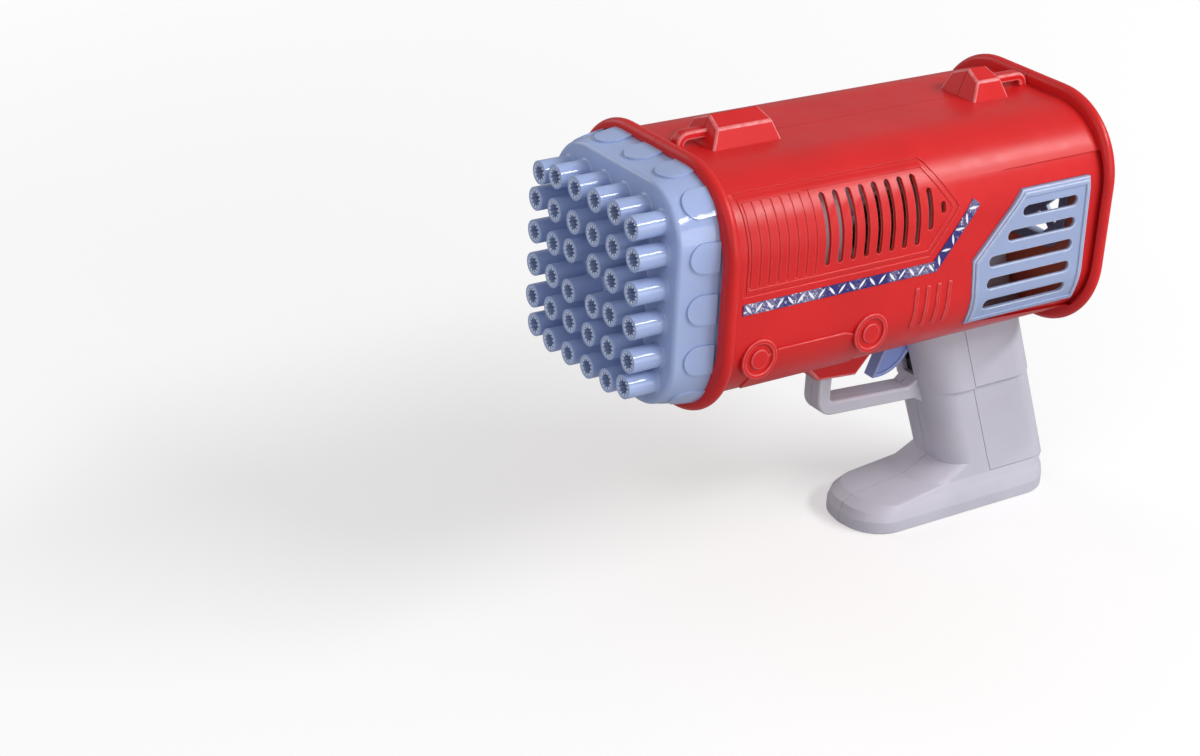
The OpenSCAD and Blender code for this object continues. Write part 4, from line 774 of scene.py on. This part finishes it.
@dataclass
class Barrel:
    """Red barrel halves with their panels, blocks and loops, the vent panels and the printed strips."""

    wardrobe: Wardrobe
    box: Section = SECTION
    block_x_mm: Range = (-75.0, 80.0)
    block_y_mm: Range = (0.05, 12.0)
    block_depth_mm: float = 0.4
    loop_x_mm: Range = (-85.0, 90.0)
    loop_half_mm: float = 2.5
    loop_play_mm: float = 0.1
    loop_lift_mm: float = 0.2
    nose_x_mm: Range = (-45.0, 45.0)
    nose_half_mm: float = 8.0
    nose_play_mm: float = 0.5
    nose_lift_mm: float = 0.2
    side_x_mm: Range = (-80.0, 25.0)
    side_y_mm: Range = (25.0, 60.0)
    panel_drop_mm: float = 1.0
    lower_drop_mm: float = 4.0
    vent_y_mm: Range = (44.0, 60.0)
    panel_x_mm: Range = (-78.2, 21.0)
    panel_y_mm: float = 30.0
    panel_low_mm: float = 3.3
    floors_mm: tuple[Range, ...] = ((0.7, 0.35), (1.2, 0.65))
    floor_play_mm: float = 0.045
    strip_start_mm: float = -78.0147
    strip_len_mm: float = 85.0
    strip_z_mm: float = 129.35
    strip_deg: float = 52.0

    def make_halves(self) -> None:
        """Softens and dresses both halves of the barrel."""
        for side in ("left", "right"):
            copy = MouldedCopy(f"{side}_housing")
            self.ease_panel(copy.piece.data)
            copy.soften(*self.half_rules())
            self.wardrobe.hand_over(copy.smooth(), (copy.node,), Body.GUN, RED_SHELL)

    def half_rules(self) -> tuple[EdgeRule, ...]:
        """Edges of a half that are rounded.

        Returns:
            Rules for the top blocks, the strap loops, the trigger nose, the arrow panel and the lower side.
        """
        top, axis, under = self.box.top_mm, self.box.axis_mm, self.box.under_mm
        blocks = EdgeRule(width_mm=0.8, x_mm=self.block_x_mm, y_mm=self.block_y_mm,
                          z_mm=(top - self.block_depth_mm, EVERYWHERE),
                          middle_y_mm=self.loop_half_mm + self.loop_play_mm)
        loops = EdgeRule(width_mm=0.9, x_mm=self.loop_x_mm, y_mm=around(self.loop_half_mm, self.loop_play_mm),
                         z_mm=(top + self.loop_lift_mm, EVERYWHERE))
        nose = EdgeRule(width_mm=1.3, x_mm=self.nose_x_mm, y_mm=around(self.nose_half_mm, self.nose_play_mm),
                        z_mm=(0.0, under + self.nose_lift_mm))
        # The panel and the lower side get a weaker painted highlight on their edges.
        panel = EdgeRule(width_mm=0.25, x_mm=self.side_x_mm, y_mm=self.side_y_mm,
                         z_mm=(axis, top - self.panel_drop_mm), highlight_share=0.25)
        lower = EdgeRule(width_mm=0.5, x_mm=self.side_x_mm, y_mm=self.side_y_mm,
                         z_mm=(under, axis - self.lower_drop_mm), highlight_share=0.45)
        return blocks, loops, nose, panel, lower

    def ease_panel(self, mesh: bpy.types.Mesh) -> None:
        """Lifts the floors of the arrow panel and its grooves, so that their steps look softly moulded."""
        corner = self.box.corner_mm
        core_side, core_up = self.box.half_w_mm - corner, self.box.half_h_mm - corner
        for vert in mesh.vertices:
            spot = vert.co / MM
            up = spot.z - self.box.axis_mm
            if not (self.panel_x_mm[0] < spot.x < self.panel_x_mm[1] and up > self.panel_low_mm
                    and abs(spot.y) > self.panel_y_mm):
                continue
            core = Vector((0, math.copysign(min(abs(spot.y), core_side), spot.y), min(up, core_up)))
            out = Vector((0, spot.y, up)) - core
            for floor, eased in self.floors_mm:
                if abs(corner - out.length - floor) < self.floor_play_mm:
                    lifted = core + out.normalized() * (corner - eased)
                    vert.co = Vector((spot.x, lifted.y, lifted.z + self.box.axis_mm)) * MM
                    break

    def make_vents(self) -> None:
        """Softens and dresses the slotted panels near the rear and the lattice in the rear wall."""
        panel, lattice = EdgeRule(width_mm=0.5, y_mm=self.vent_y_mm), EdgeRule(width_mm=0.4)
        for node, rule in (("left_vent_panel", panel), ("right_vent_panel", panel), ("rear_grille", lattice)):
            copy = MouldedCopy(node)
            copy.soften(rule)
            self.wardrobe.hand_over(copy.smooth(), (copy.node,), Body.GUN, BLUE_VENT)

    def make_strips(self) -> None:
        """Cuts each strip at its bend, lays out its print and dresses it."""
        knee = Vector((self.strip_start_mm + self.strip_len_mm, 0, self.strip_z_mm)) * MM
        rise = Vector((math.cos(math.radians(self.strip_deg)), 0, math.sin(math.radians(self.strip_deg))))
        bend = (Vector((1, 0, 0)) + rise).normalized()
        for side in ("left", "right"):
            copy = MouldedCopy(f"{side}_strip")
            take_up(copy.piece)
            bpy.ops.object.mode_set(mode="EDIT")
            bpy.ops.mesh.select_all(action="SELECT")
            bpy.ops.mesh.bisect(plane_co=knee, plane_no=bend)
            bpy.ops.object.mode_set(mode="OBJECT")
            mesh = copy.piece.data
            layer = mesh.uv_layers.new(name="print")
            for face in mesh.polygons:
                level = (face.center - knee).dot(bend) < 0
                for corner in face.loop_indices:
                    spot = mesh.vertices[mesh.loops[corner].vertex_index].co - knee
                    run = spot.x if level else spot.dot(rise)
                    across = spot.z if level else spot.z * rise.x - spot.x * rise.z
                    layer.data[corner].uv = (run / MM + self.strip_len_mm, across / MM)
            self.wardrobe.hand_over(copy.smooth(), (copy.node,), Body.GUN, FILM)


@dataclass
class Head:
    """Blue front with its ribbed nozzles, and the lamp in its middle."""

    wardrobe: Wardrobe
    tip_mm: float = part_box("nozzle_head")[0].x / MM
    tip_play_mm: float = 0.1
    axis_mm: float = SECTION.axis_mm
    rows: int = 6
    pitch_mm: float = 12.5
    corner_draw_mm: float = 2.0
    middle_spread_mm: float = 1.4
    far_off_mm: float = 90.0
    mouth_depth_mm: float = 2.5

    def make(self) -> None:
        """Softens and dresses the head, and dresses the lamp and its board."""
        copy = MouldedCopy("nozzle_head")
        copy.soften(EdgeRule(width_mm=0.13, x_mm=around(self.tip_mm, self.tip_play_mm), angle_deg=60,
                             segments=2))
        self.map_mouths(copy.piece.data)
        self.wardrobe.hand_over(copy.smooth(), (copy.node,), Body.GUN, BLUE_HEAD)
        self.wardrobe.dress_node("led", LENS)
        self.wardrobe.dress_node("led_board", BOARD)

    def middles(self) -> list[Vector]:
        """Middles of the nozzles' mouths, in metres.

        Returns:
            A place for each nozzle: a square field, its corners drawn in and its middle four spread.
        """
        half = (self.rows - 1) / 2
        spots = []
        for row in range(self.rows):
            for column in range(self.rows):
                steps = (row - half, column - half)
                shift = 0.0
                if all(abs(step) == half for step in steps):
                    shift = -self.corner_draw_mm
                elif all(abs(step) < 1 for step in steps):
                    shift = self.middle_spread_mm
                side, up = (step * self.pitch_mm + (shift if step > 0 else -shift) for step in steps)
                spots.append(Vector((self.tip_mm, side, self.axis_mm + up)) * MM)
        return spots

    def map_mouths(self, mesh: bpy.types.Mesh) -> None:
        """Lays a map over the nozzles' mouths for the painted highlights on the teeth, in millimetres from
        each nozzle's own middle.
        """
        spots = self.middles()
        layer = mesh.uv_layers.new(name="mouths")
        for face in mesh.polygons:
            at_tip = face.center.x < (self.tip_mm + self.mouth_depth_mm) * MM
            middle = min(spots, key=lambda spot: (spot - face.center).length) if at_tip else None
            for corner in face.loop_indices:
                place = (self.far_off_mm, self.far_off_mm)
                if middle is not None:
                    off = mesh.vertices[mesh.loops[corner].vertex_index].co - middle
                    place = (off.y / MM, off.z / MM)
                layer.data[corner].uv = place


@dataclass
class Grip:
    """Grey handle with its guard and foot, the battery cover, and what lies inside."""

    wardrobe: Wardrobe
    guard_x_mm: Range = (-7.5, 48.0)
    guard_z_mm: Range = (46.0, 71.0)
    guard_half_mm: float = 5.0
    guard_play_mm: float = 0.5
    swell_z_mm: float = 55.0
    swell_play_mm: float = 0.2
    sole_play_mm: float = 0.1
    outside_y_mm: Range = (0.3, 30.0)

    def make_shells(self) -> None:
        """Softens and dresses the handle's halves and the battery cover."""
        guard = EdgeRule(width_mm=1.2, x_mm=self.guard_x_mm, z_mm=self.guard_z_mm,
                         y_mm=around(self.guard_half_mm, self.guard_play_mm))
        swell = EdgeRule(width_mm=1.3, y_mm=self.outside_y_mm,
                         z_mm=around(self.swell_z_mm, self.swell_play_mm), held_back=True)
        sole = EdgeRule(width_mm=0.8, y_mm=self.outside_y_mm, z_mm=around(0.0, self.sole_play_mm))
        for node, body, rules in (("left_grip", Body.GUN, (guard, swell, sole)),
                                  ("right_grip", Body.GUN, (guard, swell, sole)),
                                  ("battery_cover", Body.COVER, (swell,))):
            copy = MouldedCopy(node)
            copy.soften(*rules)
            self.wardrobe.hand_over(copy.smooth(), (copy.node,), body, GREY_GRIP)

    def dress_inside(self) -> None:
        """Dresses the tray, the cells and the contacts."""
        self.wardrobe.dress_node("battery_tray", DARK_INSIDE)
        self.wardrobe.dress_node("batteries", CELLS)
        self.wardrobe.dress_node("battery_contacts", STEEL)


@dataclass
class TriggerSet:
    """Trigger on its pin, its coil spring and the switch behind it."""

    wardrobe: Wardrobe
    blade_y_mm: Range = (2.0, 3.2)
    blade_z_mm: Range = (0.0, 87.0)
    wire_mm: float = 0.6
    wire_sides: int = 12
    coil_mm: float = 5.0
    turns: int = 6
    turn_steps: int = 28
    length_mm: float = 9.2
    start_mm: Point = (39.5853, 0.0, 73.4)
    smooth_deg: float = 50.0
    kept: float = 0.66

    def make(self) -> None:
        """Softens the trigger, winds the spring and dresses the pin and the switch."""
        copy = MouldedCopy("trigger")
        copy.soften(EdgeRule(width_mm=0.45, y_mm=self.blade_y_mm, z_mm=self.blade_z_mm))
        self.wardrobe.hand_over(copy.smooth(), (copy.node,), Body.TRIGGER, BLUE_TRIGGER)
        self.wind_spring()
        self.wardrobe.dress_node("trigger_pin", STEEL)
        self.wardrobe.dress_node("switch_body", DARK_INSIDE)
        self.wardrobe.dress_node("switch_button", RED_BUTTON)

    def wind_spring(self) -> None:
        """Winds a round wire into the return spring."""
        bpy.ops.object.select_all(action="DESELECT")
        bpy.ops.mesh.primitive_circle_add(vertices=self.wire_sides, radius=self.wire_mm / 2 * MM)
        spring = bpy.context.object
        spring.name = "wound_spring"
        bpy.ops.object.mode_set(mode="EDIT")
        bpy.ops.transform.translate(value=(self.wire_mm / 2 * MM, (self.coil_mm - self.wire_mm) / 2 * MM, 0))
        bpy.ops.object.mode_set(mode="OBJECT")
        wind = spring.modifiers.new("wind", "SCREW")
        wind.axis = "X"
        wind.steps = wind.render_steps = self.turn_steps
        wind.iterations = self.turns
        wind.screw_offset = (self.length_mm - self.wire_mm) / self.turns * MM
        bpy.ops.object.modifier_apply(modifier=wind.name)
        bpy.ops.object.mode_set(mode="EDIT")
        bpy.ops.mesh.select_mode(type="EDGE")
        bpy.ops.mesh.select_all(action="SELECT")
        bpy.ops.mesh.fill_holes(sides=0)
        bpy.ops.mesh.normals_make_consistent(inside=False)
        bpy.ops.transform.translate(value=Vector(self.start_mm) * MM)
        bpy.ops.object.mode_set(mode="OBJECT")
        bpy.ops.object.shade_smooth_by_angle(angle=math.radians(self.smooth_deg))
        self.wardrobe.hand_over(spring, ("trigger_spring",), Body.GUN, STEEL)
        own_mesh(spring)


class Drive(Enum):
    """Way that a screw's head points, by the number of its axis."""

    REAR = 0
    RIGHT = 1

    @property
    def turn(self) -> Matrix:
        """Turn that lays a screw which stands along z this way."""
        if self is Drive.REAR:
            return Matrix.Rotation(math.pi / 2, 4, "Y")
        return Matrix.Rotation(-math.pi / 2, 4, "X")


@dataclass(frozen=True)
class CrossScrew:
    """A cross-head screw with a domed head and a tapered tip, its seat at the origin and its head along z.

    The shares are of the head's height (dome), of the length and the shank (tip), and of the head's width
    and height (cross).
    """

    length_mm: float
    shank_mm: float = 2.6
    head_mm: float = 5.4
    head_h_mm: float = 2.0
    drive: Drive = Drive.RIGHT
    body: Body = Body.GUN
    sides: int = 40
    dome_share: float = 0.45
    tip_share: float = 0.14
    tip_w_share: float = 0.35
    cross_share: Point = (0.62, 0.17, 0.8)
    cross_foot_share: float = 0.55
    upright: float = 0.9
    smooth_deg: float = 40.0

    def make(self, name: str) -> bpy.types.Object:
        """Models one screw from a cylinder.

        Args:
            name: Name of the new object.

        Returns:
            The screw, standing at the origin.
        """
        bpy.ops.object.select_all(action="DESELECT")
        bpy.ops.mesh.primitive_cylinder_add(vertices=self.sides, radius=self.head_mm / 2 * MM,
                                            depth=self.head_h_mm * MM,
                                            location=(0, 0, self.head_h_mm / 2 * MM))
        screw = bpy.context.object
        screw.name = name
        bpy.ops.object.transform_apply(location=True, rotation=False, scale=False)
        bpy.ops.object.mode_set(mode="EDIT")
        self.pick(screw, True)
        bpy.ops.mesh.bevel(offset=self.dome_share * self.head_h_mm * MM, segments=4, affect="EDGES")
        self.pick(screw, False)
        bpy.ops.mesh.inset(thickness=(self.head_mm - self.shank_mm) / 2 * MM)
        for share in (1 - self.tip_share, self.tip_share):
            down = (0, 0, -share * self.length_mm * MM)
            bpy.ops.mesh.extrude_region_move(TRANSFORM_OT_translate={"value": down})
        bpy.ops.transform.resize(value=(self.tip_w_share, self.tip_w_share, 1.0))
        bpy.ops.object.mode_set(mode="OBJECT")
        self.combine(screw, self.make_cross(), "DIFFERENCE")
        take_up(screw)
        bpy.ops.object.shade_smooth_by_angle(angle=math.radians(self.smooth_deg))
        return screw

    def pick(self, piece: bpy.types.Object, top: bool) -> None:
        """Selects the faces that look up, or those that look down."""
        bpy.ops.mesh.select_mode(type="FACE")
        bpy.ops.mesh.select_all(action="DESELECT")
        form = bmesh.from_edit_mesh(piece.data)
        for face in form.faces:
            face.select_set(face.normal.z > self.upright if top else face.normal.z < -self.upright)
        bmesh.update_edit_mesh(piece.data)

    def combine(self, piece: bpy.types.Object, tool: bpy.types.Object, way: str) -> None:
        """Joins a tool to a piece or cuts it out, and does away with the tool."""
        take_up(piece)
        change = piece.modifiers.new("combine", "BOOLEAN")
        change.operation, change.object, change.solver = way, tool, "EXACT"
        bpy.ops.object.modifier_apply(modifier=change.name)
        bpy.data.objects.remove(tool)

    def make_cross(self) -> bpy.types.Object:
        """Models the tool that sinks the cross: two bars that narrow downwards.

        Returns:
            The tool, in its place over the head.
        """
        long, wide, deep = self.cross_share
        bars = []
        for turn in (0.0, math.pi / 2):
            bpy.ops.object.select_all(action="DESELECT")
            bpy.ops.mesh.primitive_cube_add(size=1)
            bar = bpy.context.object
            bar.scale = (long * self.head_mm * MM, wide * self.head_mm * MM, deep * self.head_h_mm * MM)
            bar.location.z = self.head_h_mm * MM
            bar.rotation_euler.z = turn
            bpy.ops.object.transform_apply()
            bpy.ops.object.mode_set(mode="EDIT")
            self.pick(bar, False)
            bpy.ops.transform.resize(value=(self.cross_foot_share, self.cross_foot_share, 1.0))
            bpy.ops.object.mode_set(mode="OBJECT")
            bars.append(bar)
        self.combine(bars[0], bars[1], "UNION")
        return bars[0]


@dataclass
class Fasteners:
    """All the screws, each set in place of its CAD node."""

    wardrobe: Wardrobe
    sizes: dict[str, CrossScrew] = field(default_factory=lambda: {
        "housing_screws": CrossScrew(length_mm=24.0),
        "grip_screws": CrossScrew(length_mm=15.0),
        "battery_cover_screw": CrossScrew(length_mm=16.0, drive=Drive.REAR, body=Body.COVER),
        "blower_screws": CrossScrew(length_mm=7.5, shank_mm=2.0, head_mm=4.4, head_h_mm=1.6),
    })
    digits: int = 5

    def make(self) -> None:
        """Models and places every set of screws."""
        for node, screw in self.sizes.items():
            self.set_down(node, screw)

    def seats(self, node: str, screw: CrossScrew) -> list[Vector]:
        """Seats of a node's screws, read from the CAD screws' own heads.

        Args:
            node: CAD node of the screws.
            screw: Sizes of the screw and the way its head points.

        Returns:
            A seat for each screw, in metres.
        """
        form = bmesh.new()
        form.from_mesh(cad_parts[node].data)
        bmesh.ops.remove_doubles(form, verts=form.verts, dist=MERGE_MM * MM)
        left, seats, axis = set(form.verts), [], screw.drive.value
        while left:
            reach, island = [left.pop()], []
            while reach:
                vert = reach.pop()
                island.append(vert.co.copy())
                for edge in vert.link_edges:
                    other = edge.other_vert(vert)
                    if other in left:
                        left.discard(other)
                        reach.append(other)
            low = Vector([min(p[i] for p in island) for i in range(3)])
            high = Vector([max(p[i] for p in island) for i in range(3)])
            seat = (low + high) / 2
            seat[axis] = high[axis] - screw.head_h_mm * MM
            seats.append(seat)
        form.free()
        return sorted(seats, key=lambda seat: (round(seat.x, self.digits), round(seat.z, self.digits)))

    def set_down(self, node: str, screw: CrossScrew) -> None:
        """Copies one modelled screw to every seat of a node and joins the copies into a piece.

        Args:
            node: CAD node that the piece stands for.
            screw: Sizes of the screw, the way its head points and the body that it rides on.
        """
        model = screw.make("screw_model")
        copies = []
        for seat in self.seats(node, screw):
            copy = bpy.data.objects.new("cross_" + node, model.data.copy())
            bpy.context.scene.collection.objects.link(copy)
            copy.data.transform(Matrix.Translation(seat) @ screw.drive.turn)
            copies.append(copy)
        bpy.data.objects.remove(model)
        take_up(copies[0])
        for copy in copies:
            copy.select_set(True)
        bpy.ops.object.join()
        self.wardrobe.hand_over(copies[0], (node,), screw.body, STEEL)


@dataclass
class Blower:
    """Fan, case, motor and plenum inside the barrel."""

    wardrobe: Wardrobe

    def dress(self) -> None:
        """Dresses the blower's nodes, which show only through the slots."""
        for node in ("blower_case_left", "blower_case_right", "air_plenum"):
            self.wardrobe.dress_node(node, GREY_INSIDE)
        self.wardrobe.dress_node("impeller", WHITE_INSIDE)
        self.wardrobe.dress_node("motor_shaft", STEEL)
        self.wardrobe.dress_node("motor", CAN)


@dataclass(frozen=True)
class Lamp:
    """A soft lamp: its place, its width and height in metres, and its power in watts."""

    name: str
    at: Point
    size: Range
    watts: float


@dataclass
class Studio:
    """White floor, soft lamps and the camera, with places in metres."""

    floor_size: float = 40.0
    floor_shade: Shade = (206, 206, 206)
    floor_bounce: Shade = (176, 176, 176)
    floor_rough: float = 0.8
    floor_lift: float = 0.4
    far_lift: float = 0.37
    fade_m: float = 1.2
    aim: Point = (0.0, 0.0, 0.11)
    camera_at: Point = (-0.5214, -0.6195, 0.4472)
    camera_turn_deg: Point = (64.419, -2.473, -32.798)
    lens_mm: float = 69.62
    sensor_mm: float = 36.0
    clip_m: Range = (0.01, 50.0)
    world_level: float = 0.36
    lamps: tuple[Lamp, ...] = (
        Lamp("key_lamp", (0.81, -0.93, 1.14), (1.15, 0.24), 17.0),
        Lamp("side_lamp", (0.25, -1.7, 0.4), (1.6, 0.8), 9.0),
        Lamp("front_lamp", (-1.5, -0.7, 0.75), (1.2, 1.2), 5.0),
        Lamp("top_lamp", (0.1, 0.3, 1.8), (1.6, 1.6), 1.0),
        Lamp("back_lamp", (-0.7, 1.5, 0.9), (1.0, 1.0), 5.0),
    )

    def make(self) -> None:
        """Lays the floor, hangs the lamps and sets up the camera."""
        self.lay_floor()
        for lamp in self.lamps:
            self.hang_lamp(lamp)
        self.fill_air()
        self.set_camera()

    def fill_air(self) -> None:
        """Fills the room with even light, and makes what the camera sees behind the floor white."""
        world = bpy.data.worlds.new("studio_air")
        world.use_nodes = True
        nodes, links = world.node_tree.nodes, world.node_tree.links
        level = nodes.new("ShaderNodeMath")
        level.operation = "MULTIPLY_ADD"
        links.new(nodes.new("ShaderNodeLightPath").outputs["Is Camera Ray"], level.inputs[0])
        level.inputs[1].default_value = 1.0 - self.world_level
        level.inputs[2].default_value = self.world_level
        air = nodes["Background"]
        air.inputs["Color"].default_value = (1.0, 1.0, 1.0, 1.0)
        links.new(level.outputs[0], air.inputs["Strength"])
        bpy.context.scene.world = world

    def lay_floor(self) -> None:
        """Lays a wide floor that looks white, takes the object's shadow and throws little light back.

        The camera sees it lifted towards white, and more so far from the object, where the lamps fade.
        """
        bpy.ops.object.select_all(action="DESELECT")
        bpy.ops.mesh.primitive_plane_add(size=self.floor_size)
        floor = bpy.context.object
        floor.name = "studio_floor"
        sheet = ShaderSheet("studio_floor")
        path = sheet.nodes.new("ShaderNodeLightPath").outputs
        seen = sheet.sum("MAXIMUM", path["Is Camera Ray"], path["Is Transmission Ray"])
        across, along, _ = sheet.apart(sheet.place)
        away = sheet.sum("MULTIPLY_ADD", across, across, sheet.sum("MULTIPLY", along, along))
        fade = sheet.sum("DIVIDE", away, sheet.sum("ADD", away, self.fade_m ** 2))
        far = sheet.sum("MULTIPLY", sheet.sum("MULTIPLY", fade, path["Is Camera Ray"]), self.far_lift)
        sheet.settle(Base_Color=sheet.blend(seen, linear(self.floor_bounce), linear(self.floor_shade)),
                     Roughness=self.floor_rough, Specular_IOR_Level=0.0, Emission_Color=(1.0, 1.0, 1.0, 1.0),
                     Emission_Strength=sheet.sum("MULTIPLY_ADD", seen, self.floor_lift, far))
        floor.data.materials.append(sheet.material)

    def hang_lamp(self, lamp: Lamp) -> None:
        """Hangs a lamp that looks at the object's middle."""
        light = bpy.data.lights.new(lamp.name, "AREA")
        light.shape, light.size, light.size_y, light.energy = "RECTANGLE", *lamp.size, lamp.watts
        holder = bpy.data.objects.new(lamp.name, light)
        holder.location = lamp.at
        holder.rotation_euler = (Vector(self.aim) - Vector(lamp.at)).to_track_quat("-Z", "Y").to_euler()
        bpy.context.scene.collection.objects.link(holder)

    def set_camera(self) -> None:
        """Sets the camera at the photograph's viewing angle."""
        lens = bpy.data.cameras.new("photo_camera")
        lens.lens, lens.sensor_width, lens.sensor_fit = self.lens_mm, self.sensor_mm, "HORIZONTAL"
        lens.clip_start, lens.clip_end = self.clip_m
        camera = bpy.data.objects.new("photo_camera", lens)
        turn = Euler([math.radians(angle) for angle in self.camera_turn_deg])
        camera.matrix_world = Matrix.Translation(self.camera_at) @ turn.to_matrix().to_4x4()
        bpy.context.scene.collection.objects.link(camera)
        bpy.context.scene.camera = camera


def main() -> None:
    """Builds the sub-assemblies in order."""
    logging.basicConfig(level=logging.INFO, format="%(name)s: %(message)s")
    bpy.context.scene.view_settings.view_transform = "Standard"
    wardrobe = Wardrobe()
    barrel = Barrel(wardrobe)
    barrel.make_halves()
    barrel.make_vents()
    barrel.make_strips()
    Head(wardrobe).make()
    grip = Grip(wardrobe)
    grip.make_shells()
    grip.dress_inside()
    TriggerSet(wardrobe).make()
    Fasteners(wardrobe).make()
    Blower(wardrobe).dress()
    Studio().make()


if __name__ == "__main__":
    main()
